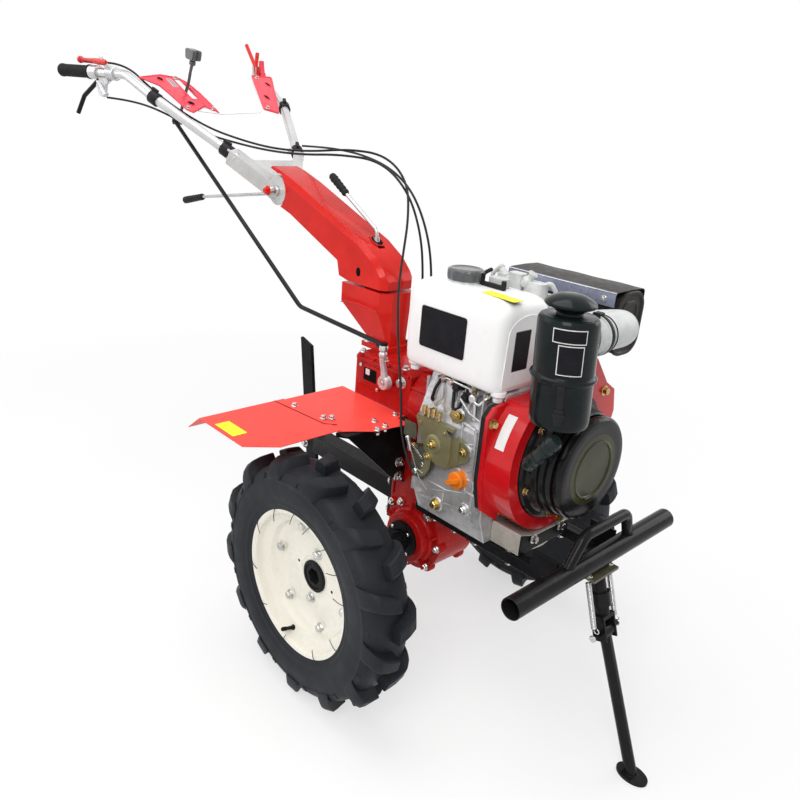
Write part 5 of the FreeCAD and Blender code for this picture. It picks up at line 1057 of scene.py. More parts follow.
def make_exhaust():
    """The muffler: a rounded box with rolled ends and a pressed end panel, under a bent heat shield."""
    blank = Blank()
    sections = []
    for x, inset in ((26, 40), (24, 18), (24, 12), (26.5, 10.5), (26.5, 6), (22.5, 3.5), (22.5, -0.5),
            (25, -2.2), (28, -2.2), (30, 0), (80, 0), (82, 1.5), (85, 1.5), (87, 0), (240, 0), (242, 1.5),
            (245, 1.5), (247, 0), (296, 0), (298, -2.2), (302, -2.2), (304, -0.5), (304, 4), (300.5, 7),
            (300.5, 17), (303, 19.5), (303, 24), (301, 27), (301, 40)):
        outline = rounded(96 - 2 * inset, 130 - 2 * inset, max(36 - inset, 6), 9) + [198, 830]
        sections.append(np.column_stack([np.full(len(outline), float(x)), outline]))
    loft(blank, sections)
    wall(blank, rounded(70, 30, 6) + [155, 815], 152, 15.5)
    spun(blank, [(0, 0), (15, 0), (15, 34), (18, 35), (18, 38), (15, 38), (12, 37), (12, 6), (0, 6)],
        (40, 205, 792), unit([-1, 0.25, -0.35]), 28)
    make_piece("muffler_box", blank, "burnt_black", "frame", ("muffler",), angle=30)
    blank = Blank()
    section = np.array([(138.5, 869), (138, 872), (138, 892), (139.5, 896.5), (143, 898.6), (150, 899.2),
        (196, 900.2), (240, 899.2), (246, 897.6), (249.5, 893), (250.5, 880)])
    inner = np.array([(140, 869), (139.6, 872), (139.6, 891.5), (140.6, 895), (143.6, 897), (150, 897.6),
        (196, 898.6), (240, 897.6), (245, 896.2), (248, 892.4), (249, 880)])
    x = np.linspace(27, 298, 40)[:, None]
    wave = 0.5 * np.sin(x / 17.0)

    def skin(line):
        y = line[None, :, 0] + 0 * x
        z = line[None, :, 1] + wave * np.clip((line[None, :, 0] - 145) / 10, 0, 1)
        return spots(np.stack([x + 0 * y, y, z], axis=-1))
    slab(blank, skin(section)[:, :5], skin(inner)[:, :5], 1)
    slab(blank, skin(section)[:, 4:], skin(inner)[:, 4:])
    make_piece("exhaust_shield", blank, "burnt_black shield_steel spring_steel", "frame",
        ("heat_shield",), angle=40)
    blank = Blank()
    rod(blank, [(27, 138.2, 897.4), (298, 138.2, 897.4)], 1.1, 0, 8)
    for x_place in (272, 60):
        head(blank, (x_place, 138, 882), (0, -1, 0), 9)
    make_piece("shield_bolts", blank, "spring_steel", "frame")


def make_engine():
    """The rest of the engine: sump, intake pipe and oil cap."""
    trim = bpy.context.scene.weeder_trim
    make_crankcase()
    make_pump()
    make_governor()
    make_cylinder_head()
    make_shroud()
    make_starter()
    make_exhaust()
    dress_node("sump", "sump_casting black_paint", trim.edge, steps=3,
        zone=lambda middles: (middles[:, 0] > AXLE_X + 0.300).astype(int))
    dress_node("intake_elbow", "pale_plastic", 0.0012, angle=50)
    blank = Blank()
    spun(blank, [(33.4, -6), (36.6, -6), (37.6, -4), (37.6, 4), (36.6, 6), (33.4, 6)], (376, -42, 860),
        Y_AXIS, 40)
    plate(blank, rounded(10, 16, 2), (376, -50, 896), Z_AXIS, X_AXIS, 14)
    spun(blank, [(33.2, -1), (35, 0), (33.2, 1)], (376, -24, 860), Y_AXIS, 40)
    make_piece("intake_clamp", blank, "black_plastic", "frame")
    blank = Blank()
    place = (191, -139, 526)
    spun(blank, [(0, 0), (20, 0), (20, 3), (16, 4), (16, 10), (18, 11), (18.5, 15), (17, 18), (12, 19),
        (0, 19)], place, (0, -1, 0), 40)
    plate(blank, [(-17, -3.2), (-14, -4.2), (14, -4.2), (17, -3.2), (17, 3.2), (14, 4.2), (-14, 4.2),
        (-17, 3.2)], (191, -156, 526), unit([0.9, 0, 0.42]), unit([-0.42, 0, 0.9]), 10)
    make_piece("oil_filler", blank, "cap_orange", "frame", ("oil_cap",), edge=0.0008)
    blank = Blank()
    for place in ((330, -60, 430), (330, 30, 430)):
        head(blank, place, X_AXIS, 13)
    make_piece("sump_bolts", blank, "zinc", "frame")


# ---------------------------------------------------------------------------
# Gearbox, column and fenders
# ---------------------------------------------------------------------------
def make_gearbox_ribs():
    """Bosses, ribs, the cover's rim and the fins of the clutch housing."""
    blank = Blank()
    for sign in (-1, 1):
        out = np.array([0.0, sign, 0.0])
        for degrees in (-150, -100, -50, 0, 55, 125):
            turn = math.radians(degrees)
            place = (80 * math.cos(turn), 40 * sign, 275 + 80 * math.sin(turn))
            spun(blank, boss(14, 15, 12.5, 20), place, out, 24)
        for x, z in ((-74, 330), (-76, 420), (-76, 520), (44, 346), (46, 440), (-10, 546)):
            spun(blank, boss(12, 3, 11, 6), (x, 57 * sign, z), out, 24)
        spun(blank, [(60, 0), (70, 0), (68, 8), (64, 12), (60, 13), (60, 0)], (0, 57 * sign, 275), out)
        for degrees in (20, 90, 160, 230, 310):
            turn = math.radians(degrees)
            plate(blank, [(60, -2.5), (84, -2.5), (84, 2.5), (60, 2.5)], (0, 60 * sign, 275),
                (math.cos(turn), 0, math.sin(turn)), (math.sin(turn) * sign, 0, -math.cos(turn) * sign), 14)
        wall(blank, [(-80, 350), (-74, 350), (-70, 548), (-80, 548)], 57.5 * sign, -4 * sign)
    for x in (-200, -150, -100, -50):
        plate(blank, [(-3, -86), (3, -86), (3, 86), (-3, 86)], (x, 0, 664.5), X_AXIS, Y_AXIS, 4)
    plate(blank, [(-210, -84), (-34, -84), (-34, 84), (-210, 84)], (0, 0, 655), X_AXIS, Y_AXIS, 7)
    for sign in (-1, 1):
        for x in (-196, -120, -52):
            spun(blank, boss(9, 8, 7, 10), (x, 76 * sign, 662), Z_AXIS, 20)
        plate(blank, rounded(70, 52, 6) + [-160, 622], (0, 79.5 * sign, 0), X_AXIS, Z_AXIS, -3.2 * sign)
    for degrees in range(0, 360, 30):
        turn = math.radians(degrees)
        radial = np.array([0, math.cos(turn), math.sin(turn)])
        prism(blank, np.array([(-0.026, 0.084), (0.044, 0.104), (0.044, 0.116), (0.038, 0.115),
            (-0.026, 0.092)]), spots((0, 0, 593)) - np.cross(X_AXIS, radial) * 0.003, X_AXIS, radial, 0.006)
    make_piece("gearbox_ribs", blank, "red_cast", "frame", edge=0.0012)


def make_gearbox_bolts():
    """Bolts of the case, the cover, the bearing caps and the clutch housing."""
    blank = Blank()
    for sign in (-1, 1):
        out = (0, sign, 0)
        for degrees in (-150, -100, -50, 0, 55, 125):
            turn = math.radians(degrees)
            head(blank, (80 * math.cos(turn), 60 * sign, 275 + 80 * math.sin(turn)), out, 12)
        for x, z in ((-74, 330), (-76, 420), (-76, 520), (44, 346), (46, 440), (-10, 546)):
            head(blank, (x, 63 * sign, z), out, 11)
        for x in (-196, -120, -52):
            head(blank, (x, 76 * sign, 672), Z_AXIS, 11)
        for degrees in (45, 135, 225, 315):
            turn = math.radians(degrees)
            head(blank, (36 * math.cos(turn), 99.5 * sign, 275 + 36 * math.sin(turn)), out, 8, 0, False)
    head(blank, (-56, -80, 640), (0, -1, 0), 17)
    head(blank, (-190, -83, 644), (0, -1, 0), 8, 0, False)
    head(blank, (-130, -83, 600), (0, -1, 0), 8, 0, False)
    for degrees in range(15, 360, 60):
        turn = math.radians(degrees)
        head(blank, (48, 108 * math.cos(turn), 593 + 108 * math.sin(turn)), (-1, 0, 0), 11)
    make_piece("gearbox_bolts", blank, "zinc", "frame")


def make_gearbox_window():
    """The dark window on the cover with its blank white square."""
    blank = Blank()
    wall(blank, rounded(44, 30, 3) + [-160, 626], -82.6, 0.6)
    wall(blank, rounded(14, 14, 2) + [-168, 632], -83.0, 0.8, 1)
    make_piece("gearbox_window", blank, "shadow_gap label_white", "frame")


def make_shift_arm():
    """The forged shift arm on its boss, and the dressed hitch and depth bar."""
    blank = Blank()
    spun(blank, [(5, 0), (12, 0), (12.5, 2), (12.5, 17), (5, 17)], (-85, -80, 636), (0, -1, 0), 36, 2)
    spun(blank, [(5, 17), (15, 17), (16.6, 18.5), (16.6, 30), (15, 33), (9, 33), (7.5, 31), (5, 31)],
        (-85, -80, 636), (0, -1, 0), 40)
    spun(blank, boss(6, 34.5, 5, 36), (-85, -80, 636), (0, -1, 0), 20, 1)
    arm = np.array([(-85, -108, 650), (-86, -110, 668), (-87, -115, 688), (-86, -116, 700)], dtype=float)
    bar(blank, spots(arm), np.array([0.0080, 0.0068, 0.0062, 0.0070]), 18)
    turn = np.linspace(0, math.pi, 12)
    spun(blank, np.column_stack([9.2 * np.sin(turn), -9.2 * np.cos(turn)]), (-85, -116, 703), Z_AXIS, 24)
    make_piece("shift_arm_forging", blank, "pale_casting zinc red_cast", "frame",
        ("shift_arm",), angle=40)
    dress_node("hitch_bracket", "black_paint", 0.001)
    dress_node("depth_bar", "black_paint", 0.0012)


def make_hitch_bolts():
    """Bolts of the hitch bracket."""
    blank = Blank()
    for sign in (-1, 1):
        for z in (312, 348):
            head(blank, (-487, 14 * sign, z), (0, sign, 0), 14)
        for z in (292, 368):
            head(blank, (-98, 42 * sign, z), (-1, 0, 0), 15)
    make_piece("hitch_bolts", blank, "zinc", "frame")


def make_gearbox():
    """The gearbox, its cover, the clutch housing and the bearing caps, with ribs, bosses, bolts, a side
    window and the shift arm."""
    trim = bpy.context.scene.weeder_trim
    for node in ("gearbox_case", "gearbox_top", "clutch_housing"):
        dress_node(node, "red_cast", trim.edge * 1.4, steps=3)
    dress_node("bearing_caps", "black_paint", trim.edge)
    make_gearbox_ribs()
    make_gearbox_bolts()
    make_gearbox_window()
    make_shift_arm()
    make_hitch_bolts()


def make_column():
    """The swivelling hood and its fixed foot with their holes, seams and the swivel lever."""
    dress_node("column_upper", "red_paint", 0.0055, steps=5)
    dress_node("column_lower", "red_paint", 0.0035, steps=4)
    turn = np.linspace(0, 2 * math.pi, 32, endpoint=False)
    blank = Blank()
    for side in (-1, 1):
        oval = np.column_stack([-261 + 7.6 * np.cos(turn), 843 + 10.5 * np.sin(turn)])
        wall(blank, oval, 49.6 * side, 0.8 if side < 0 else -0.8)
    slope, across = unit([0.9, 0, -0.44]), Y_AXIS
    oval = np.column_stack([17 * np.cos(turn), 13 * np.sin(turn)])
    plate(blank, oval, (-259, 0, 909.5), slope, across, 3.2)
    make_piece("column_holes", blank, "shadow_gap", "column")
    blank = Blank()
    line = np.column_stack([18.2 * np.cos(turn), 14.2 * np.sin(turn)])
    ring = np.array([-259, 0, 912.0]) + line[:, :1] * slope + line[:, 1:] * across
    bar(blank, spots(np.concatenate([ring, ring[:2]])), 0.0016, 8)
    make_piece("column_beads", blank, "red_paint", "column")
    blank = Blank()
    rod(blank, [(-259, 0, 880), (-262, 0, 936), (-381, 0, 1004)], 4.6, 0, 18, 16)
    wavy_grip(blank, (-378, 0, 1002.2), (-440, 0, 1040), [(0, 0), (6.0, 0), (7.2, 2)], 8.6, 0.7, 4,
        (9.0, 6.5), 1)
    spun(blank, [(0, -6), (8, -6), (8, 6), (0, 6)], (-261, 0, 914), (-0.06, 0, 1), 20)
    make_piece("swivel_handle", blank, "plated_steel black_rubber", "column",
        ("swivel_lever",), angle=40)
    blank = Blank()
    rod(blank, [(-318, -51, 760), (-250, -51, 770), (-184, -51, 764)], 1.2, 0, 8, flat=True)
    for x, y in ((-224, -38), (-224, 38), (-166, -38), (-166, 38)):
        head(blank, (x, y, 684), Z_AXIS, 12, 1)
    make_piece("column_foot_bolts", blank, "red_paint zinc", "frame")


def make_fenders():
    """Both fenders with their overlap, bolts, blank stickers and gussets."""
    # The fenders' lighter, pinker red is painted light: the body red with its sheen put into the colour.
    dress_node("fenders", "red_sheet_painted_light", 0.0008)
    dress_node("fender_tips", "red_sheet_painted_light", 0.0008)
    dress_node("fender_brackets", "black_paint", 0.0010)
    bolts, stickers, seams, gussets = Blank(), Blank(), Blank(), Blank()
    for sign in (-1, 1):
        for x, y, z in ((-206, 259, 571.6), (-116, 248, 571.6), (-106, 233, 571.6), (-46, 163, 569.8),
                (-49, 99, 569.8), (-13, 162, 569.8), (-8, 188, 569.8)):
            head(bolts, (x, y * sign, z), Z_AXIS, 9.5)
            head(bolts, (x, y * sign, 566), -Z_AXIS, 9.5)
        sticker(stickers, (-172, 440 * sign, 571.9), X_AXIS, Y_AXIS, 74, 36, (1, 0), 3, 1.0, 0.3)
        rod(seams, [(-252, 281 * sign, 572.6), (-170, 273 * sign, 572.6), (-90, 266 * sign, 572.6)], 0.9,
            0, 8)
        rod(seams, [(-90, 266 * sign, 572.6), (-74, 244 * sign, 570.8)], 0.9, 0, 8)
        plate(gussets, [(58, 392), (104, 420), (232, 545), (266, 558), (266, 567), (58, 567)],
            (-49.6, 0, 0), sign * Y_AXIS, Z_AXIS, 3.5 * sign, 1)
        plate(gussets, [(-48, 60), (-20, 60), (-20, 262), (-48, 266)], (0, 0, 563.5), X_AXIS,
            sign * Y_AXIS, 3.5 * sign, 1)
        for z in (414, 451):
            head(gussets, (-46, 79 * sign, z), X_AXIS, 15, 0, True, 5)
    make_piece("fender_bolts", bolts, "zinc", "frame")
    make_piece("fender_stickers", stickers, "label_yellow label_black", "frame")
    make_piece("fender_seams", seams, "red_shadow", "frame")
    make_piece("gusset_bolts", gussets, "zinc black_paint", "frame")


# ---------------------------------------------------------------------------
# Chassis
# ---------------------------------------------------------------------------
def make_chassis():
    """Rails, bumper and stand with their bolts and coiled springs."""
    dress_node("engine_frame", "black_gloss", 0.0016, steps=3)
    dress_node("bumper", "black_gloss", 0.0012, angle=40)
    dress_node("bumper_loop", "black_gloss", 0.0006, angle=50)
    dress_node("stand_bracket", "black_gloss olive_plate", 0.0008,
        zone=lambda middles: (middles[:, 2] > 0.388).astype(int))
    dress_node("stand_leg", "black_gloss", 0.0010, angle=40)
    blank = Blank()
    turn = np.arange(40 * 12 + 1) * (2 * math.pi / 12)
    along = np.clip((turn / turn[-1] - 0.08) / 0.84, 0, 1)[:, None]
    for y in (-36, 36):
        top, foot = np.array([450.0, y, 390.0]), np.array([484.0, y, 292.0])
        heading = unit(foot - top)
        across = Y_AXIS
        other = np.cross(heading, across)
        coil = (top + (foot - top) * (0.06 + 0.88 * along) + 4.9 * (np.cos(turn)[:, None] * across
            + np.sin(turn)[:, None] * other))
        bar(blank, spots(coil), 0.00115, 6)
        for place, way in ((top, -heading), (foot, heading)):
            hook = place + 5 * np.stack([np.sin(t) * way + (1 - np.cos(t)) * other
                for t in np.linspace(-0.3, 4.2, 16)])
            bar(blank, spots(hook), 0.0012, 8)
    make_piece("stand_coils", blank, "spring_steel", "frame", ("stand_springs",), angle=60)
    blank = Blank()
    for y in (-89, 89):
        for x in (90, 150, 210, 300):
            head(blank, (x, y, 399.5), Z_AXIS, 13)
            head(blank, (x, y, 375.9), -Z_AXIS, 13)
    for y in (-36, 36):
        head(blank, (450, y, 398.6), Z_AXIS, 9)
    make_piece("frame_bolts", blank, "zinc", "frame")
    blank = Blank()
    for y in (-43, 43):
        spun(blank, boss(7, 2, 5.4, 3), (487, y - math.copysign(1.5, y), 278), (0, math.copysign(1, y), 0),
            24)
    make_piece("stand_pin_heads", blank, "zinc", "stand")


# ---------------------------------------------------------------------------
# Handlebar
# ---------------------------------------------------------------------------
CONSOLE_LEAN = math.atan2(52, 117)
CONSOLE_DOWN = np.array([math.cos(CONSOLE_LEAN), 0, -math.sin(CONSOLE_LEAN)])
CONSOLE_OUT = np.array([math.sin(CONSOLE_LEAN), 0, math.cos(CONSOLE_LEAN)])
RIGHT_PANEL = [(-78, -214), (-68, -202), (-37, -173), (10, -166), (94, -158), (108, -145), (66, -91),
    (98, -64), (-10, -65), (-74, -74), (-99, -91), (-107, -140)]
LEFT_PANEL = [(-167, 187), (-169, 261), (79, 138), (59, 100)]


def on_console(u, v, lift=0.0):
    """A place on the console's face: u down its slope, v to the left, lifted off it. Millimetres."""
    return np.array([-943, 0, 1193.0]) + u * CONSOLE_DOWN + v * Y_AXIS + lift * CONSOLE_OUT


def make_console():
    """The console's pressed panels with raised rims, holes and a blank label, and its plated tray."""
    dress_node("console_panels", "console_red", 0.0010)
    dress_node("console_tray", "plated_sheet", 0.0010)
    blank = Blank()
    for outline in (RIGHT_PANEL, LEFT_PANEL):
        middle = np.mean(outline, axis=0)
        loop = [on_console(*(np.array(p) + (middle - p) * (3.5 / np.linalg.norm(middle - p))), 2.6)
            for p in outline]
        loop = cornered(np.array([(loop[0] + loop[-1]) / 2] + loop + [(loop[0] + loop[-1]) / 2]), 8, 5)
        bar(blank, spots(loop), 0.0024, 10)
    slot_loop = [on_console(u, v, 2.4) for u, v in ((-32, -87), (-95, -87), (-95, -111), (31, -111),
        (31, -87), (-32, -87))]
    bar(blank, spots(cornered(np.array(slot_loop), 6, 5)), 0.0018, 8)
    turn = np.linspace(0, 2 * math.pi, 28)
    for u, v, a, b in ((-77, -152, 10, 7.5), (57, -127, 10, 9), (-109, 212, 13, 6), (-19, 155, 13, 6)):
        ring = np.array([on_console(u + (a + 1.4) * math.cos(t), v + (b + 1.4) * math.sin(t), 3.0)
            for t in turn])
        bar(blank, spots(ring), 0.0018, 8)
        oval = np.column_stack([a * np.cos(turn[:-1]), b * np.sin(turn[:-1])])
        plate(blank, oval, on_console(u, v, 2.9), CONSOLE_DOWN, Y_AXIS, 0.5, 1)
    sticker(blank, on_console(-59, -125, 3.0), CONSOLE_DOWN, Y_AXIS, 48, 15, (3, 2), 2, 1.0)
    for u, v in ((84, -150), (80, -74), (-92, -100), (-150, 196), (50, 116)):
        head(blank, on_console(u, v, 3.0), CONSOLE_OUT, 8, 4)
    make_piece("console_beads", blank, "console_red shadow_gap label_grey label_white zinc", "handlebar")


GRIP_BEND = (-1060.0, 226, 1231)
GRIP_RUN = (-253.0, 74, 0)


def grip_run(sign):
    """Where one grip's tube starts at its bend, and the direction of its run."""
    side = np.array([1, sign, 1])
    return GRIP_BEND * side, unit(GRIP_RUN * side)


def wavy_grip(blank, start, end, nose, radius, wave, first, tail, look):
    """A rubber grip on a lever: from the nose's pairs its radius swings by a sine and grows a little up
    to the tail's first pair, all spun about the line from start to end."""
    start, end = np.asarray(start, dtype=float), np.asarray(end, dtype=float)
    reach = float(np.linalg.norm(end - start))
    k = np.arange(17)
    run = np.column_stack([radius + wave * np.sin(k * 1.9) + 1.2 * k / 16,
        first + k * (reach - first - 8) / 16])
    profile = np.concatenate([nose, run, [(tail[0], reach - 4), (tail[1], reach - 0.8), (0, reach)]])
    spun(blank, profile, start, unit(end - start), 28, look)


def make_grips():
    """Ribbed rubber grips on the ends of both tubes."""
    blank = Blank()
    for sign in (-1, 1):
        end, bend_at = np.array([-1313.0, 300 * sign, 1231]), np.array([-1060.0, 226 * sign, 1231])
        way = unit(bend_at - end)
        profile = [(0, -0.5), (12, -0.5), (16, 1), (17.6, 4), (17.6, 9), (16.2, 11)]
        for k in range(18):
            s = 13 + k * 5.6
            profile += [(15.4, s), (16.5, s + 1.0), (16.5, s + 3.6), (15.4, s + 4.6)]
        profile += [(15.6, 115), (18.4, 117), (19.2, 120), (19.0, 124), (16.5, 127), (12.4, 128.5),
            (0, 128.5)]
        spun(blank, profile, end, way, 36)
    make_piece("rubber_grips", blank, "black_rubber", "handlebar", ("grips",), angle=50)


def make_shift_knob():
    """The shift lever with its moulded knob."""
    blank = Blank()
    rod(blank, [(-1004, -104, 1122), (-975, -103, 1180), (-949, -101, 1226), (-940, -100, 1252),
        (-926, -99, 1282)], 4.2, 0, 16, 14)
    spun(blank, [(0, -7), (9, -7), (9.6, -6), (9.6, 6), (9, 7), (0, 7)], (-1004, -104, 1122), Y_AXIS, 28)
    spun(blank, [(0, 0), (7, 0), (8.5, 2), (8.5, 9), (7, 12), (0, 12)], (-932, -99.5, 1268),
        (0.42, 0, 0.9), 24)
    for depth, grow in ((26, 0), (22, 1.6), (6, 1.6)):
        knob = rounded(40 + grow, 25 + grow, 6)
        plate(blank, np.column_stack([knob[:, 0] * (1 + 0.006 * knob[:, 1]), knob[:, 1]]),
            (-925, -99 + depth / 2, 1293), unit([1, 0, -0.18]), unit([0.18, 0, 1]), depth)
    make_piece("shift_knob", blank, "cap_black", "handlebar", ("shift_lever",), edge=0.0012,
        angle=40)


def make_clutch_root():
    """The folded root of the clutch lever."""
    blank = Blank()
    bend, along = grip_run(1)
    out = np.cross(along, Z_AXIS)
    root = bend + along * 120
    plate(blank, [(-17, 13), (17, 13), (19, 24), (8, 56), (4, 78), (-3, 80), (-8, 58), (-15, 46),
        (-19, 24)], root + out * 7, along, Z_AXIS, 14)
    plate(blank, [(-12, 18), (12, 18), (4, 46), (-8, 44)], root + out * 8.5, along, Z_AXIS, 17)
    head(blank, root + out * 8.5 + [0, 0, 28], out, 9, 1)
    head(blank, root - out * 8.5 + [0, 0, 28], -out, 9, 1)
    make_piece("clutch_lever_root", blank, "console_red zinc", "handlebar", edge=0.0015)


def make_tube_clamps():
    """Black clamps with their bolts on both tubes."""
    blank = Blank()
    for sign in (-1, 1):
        low, high = np.array([-727.0, 105 * sign, 1061]), np.array([-943.0, 205 * sign, 1179])
        way = unit(high - low)
        for place, length_mm in ((low - way * 2, 30), (high - way * 16, 26)):
            spun(blank, [(13, 0), (16.5, 0), (17.5, 2), (17.5, length_mm - 2), (16.5, length_mm),
                (13, length_mm)], place, way, 32)
            out = unit(np.cross(way, [0, 0, 1.0]) * -sign + [0, 0, 0.2])
            head(blank, place + way * length_mm * 0.5 + out * 17, out, 11, 1, True, 4)
            plate(blank, rounded(length_mm - 6, 9, 2), place + way * length_mm * 0.5
                + np.array([0, 0, 16.5]), way, unit(np.cross([0, 0, 1.0], way)), 8)
    make_piece("tube_clamps", blank, "black_plastic zinc", "handlebar")


def make_tilt_handle():
    """The lever that locks the tilt, with its grip and its knob."""
    blank = Blank()
    spun(blank, [(0, 0), (13, 0), (13, 6), (11, 8), (10, 24), (8, 27), (0, 27)], (-603, -46.1, 984),
        (0, -1, 0), 28)
    rod(blank, [(-603, -66, 976), (-950, -66, 923)], 4.4, 0, 18)
    wavy_grip(blank, (-946, -66, 923.6), (-1045, -70, 901), [(0, 0), (7, 0), (9, 2), (9.4, 8), (8.2, 12)],
        9.0, 0.5, 14, (10.2, 7), 1)
    head(blank, (-603, -73, 984), (0, -1, 0), 15, 2)
    make_piece("tilt_handle", blank, "plated_steel black_rubber red_paint", "handlebar",
        ("tilt_lever",), angle=40)


def make_perches():
    """The cast lever perches with their clamps and screws."""
    blank = Blank()
    for sign in (-1, 1):
        bend, along = grip_run(sign)
        out = np.cross(along, Z_AXIS) * -sign
        for t, span in ((0.14, 30), (0.42, 26)):
            place = bend + along * 263 * t
            spun(blank, [(12.8, 0), (17, 0), (18, 1.5), (18, span - 1.5), (17, span), (12.8, span)], place,
                along, 32)
            plate(blank, rounded(span - 4, 15, 4), place + along * span / 2 + out * 15, along, Z_AXIS,
                9 * sign)
            head(blank, place + along * span / 2 + out * 15 + [0, 0, 7], Z_AXIS, 9, 1)
        place = bend + along * 100
        plate(blank, [(-34, -12), (16, -12), (14, -28), (2, -58), (-10, -62), (-20, -52), (-24, -30),
            (-36, -22)], place + out * 2, along, Z_AXIS, 10 * sign)
        plate(blank, [(-16, -20), (4, -20), (-4, -50), (-12, -50)], place + out * 2.6, along, Z_AXIS,
            -2 * sign)
        for u, v in ((-10, -54), (-28, -16), (8, -18)):
            head(blank, place + along * u + Z_AXIS * v + out * 6, out, 8, 1)
    make_piece("perch_bodies", blank, "pale_casting zinc", "handlebar")


def make_throttle():
    """The throttle's round hub and its tapered lever."""
    blank = Blank()
    bend, way = grip_run(-1)
    place = bend + [0, 0, 21] + way * 95
    spun(blank, [(0, -2), (11, -2), (14, 0), (14.5, 3), (14.5, 9), (13, 12), (9, 13.5), (0, 14)], place,
        Z_AXIS, 36)
    blade = np.array([place + [0, 0, 7], place + way * 40 + [0, 0, 8], place + way * 78 + [0, 0, 7]])
    blade = spots(eased(blade, 12, 3))
    bar(blank, blade, np.linspace(0.0085, 0.0055, len(blade)), 14)
    spun(blank, [(0, -10), (5, -9), (8.6, -4), (9.6, 1), (8.2, 6), (4.5, 9), (0, 10)],
        place + way * 84 + [0, 0, 9], way, 24)
    head(blank, place + [0, 0, 14], Z_AXIS, 9, 1)
    make_piece("throttle_knob", blank, "red_gloss zinc", "handlebar")


def make_rod_end():
    """The lower joint of the shift rod."""
    blank = Blank()
    spun(blank, [(0, 0), (6, 0), (9.6, 1), (9.8, 3), (9.8, 10), (9, 12), (6, 12.5), (0, 12.5)],
        (-85, -116, 711.8), Z_AXIS, 28)
    rod(blank, [(-102, -116, 722.5), (-80, -116, 719)], 7.6, 1, 18)
    make_piece("rod_end", blank, "zinc black_gloss", "shift_rod")


def make_handlebar():
    """Tubes, clamps, grips, console and levers."""
    dress_node("handlebar_tubes", "bright_tube", 0, angle=50)
    dress_node("handlebar_seat", "seat_plate", 0.0012)
    make_console()
    make_grips()

    def lever_zone(middles):
        x, y, z = (middles[:, 0] - AXLE_X) * 1000, middles[:, 1] * 1000, middles[:, 2] * 1000
        throttle = (y < 0) & (z > 1246)
        thin = (y > 0) & (z < 1274) & (y < 248)
        return np.where(throttle | ((y > 0) & ~thin) | (thin & (x < -1250)), 1, np.where(thin, 2, 0))
    dress_node("hand_levers", "black_gloss red_paint spring_steel", 0.0022, steps=3,
        zone=lever_zone)
    dress_node("lever_perches", "pale_casting", 0.0014)
    dress_node("shift_rod", "black_gloss", 0.0008)
    make_shift_knob()
    make_clutch_root()
    make_tube_clamps()
    make_tilt_handle()
    make_perches()
    make_throttle()
    make_rod_end()


# ---------------------------------------------------------------------------
# Control cables
# ---------------------------------------------------------------------------
ROUTES = {"clutch": [(-735, 126, 1086), (-640, 106, 1091), (-530, 91, 1094), (-420, 80, 1090),
    (-310, 70, 1072), (-225, 60, 1036), (-165, 53, 975), (-127, 50, 895), (-115, 50, 785),
    (-112, 50, 672.1)], "brake": [(-1106, -261, 1169), (-1050, -222, 1167), (-940, -192, 1150),
    (-840, -134, 1105), (-740, -84, 1087), (-630, -56, 1078), (-520, -30, 1079), (-415, 4, 1090),
    (-310, 42, 1086), (-215, 46, 1030), (-156, 41, 940), (-137, 40, 840), (-133, 40, 740),
    (-132, 40, 672.1)], "throttle": [(-1092, -259, 1256), (-1072, -244, 1256), (-1048, -212, 1242),
    (-1010, -192, 1210), (-925, -168, 1166), (-830, -115, 1117), (-730, -64, 1093), (-620, -38, 1083),
    (-510, -10, 1088), (-410, 24, 1103), (-310, 54, 1100), (-225, 50, 1052), (-172, 12, 978),
    (-140, -28, 898), (-104, -68, 824), (-62, -96, 732), (-10, -124, 632), (38, -160, 540),
    (81, -156, 494)],}


def make_cables():
    """Each control cable is a round tube on its route's spline, in two pieces that meet where the
    column turns: the rear one bends with the handlebar, the front one with the column."""
    trim = bpy.context.scene.weeder_trim
    for name, route in ROUTES.items():
        line = eased(spots(route), 160)
        split = int(np.argmin(np.abs(line[:, 0] - (AXLE_X - 0.420))))
        halves = (("rear", line[:split + 1], "handlebar", "column", -0.700, -0.450),
            ("front", line[split:], "column", "frame", -0.400, -0.150))
        for end, run, first, second, start, stop in halves:
            blank = Blank()
            bar(blank, run, trim.cable / 2, 14)
            piece = make_piece("%s_cable_%s" % (name, end), blank, "cable_sheath", None,
                (name + "_cable",), angle=50)
            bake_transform(piece, first, second, start=(AXLE_X + start, 0, 1.0), end=(AXLE_X + stop, 0, 1.0))


# ---------------------------------------------------------------------------
# Stage
# ---------------------------------------------------------------------------
# name, place from the axle's middle in metres, size in metres, power in watts, tint
LAMPS = (("key", (1.6, -2.6, 3.2), 1.8, 74.4, (1.0, 0.98, 0.95)), ("fill", (-2.8, -2.4, 2.4), 2.4, 28.8,
    (0.95, 0.97, 1.0)), ("top", (-0.5, -0.5, 3.6), 2.2, 52, (1, 1, 1)),
    ("rim", (1.0, 3.0, 2.2), 2.0, 31.2, (1, 1, 1)))


def lamp(name, place, size, power, target, tint):
    """A square soft light that faces a target."""
    light = bpy.data.lights.new(name, "AREA")
    light.shape = "SQUARE"
    light.size = size
    light.energy = power
    light.color = tint
    holder = bpy.data.objects.new(name, light)
    holder.location = place
    holder.rotation_euler = (mathutils.Vector(place) - mathutils.Vector(target)).to_track_quat("Z",
        "Y").to_euler()
    bpy.context.scene.collection.objects.link(holder)


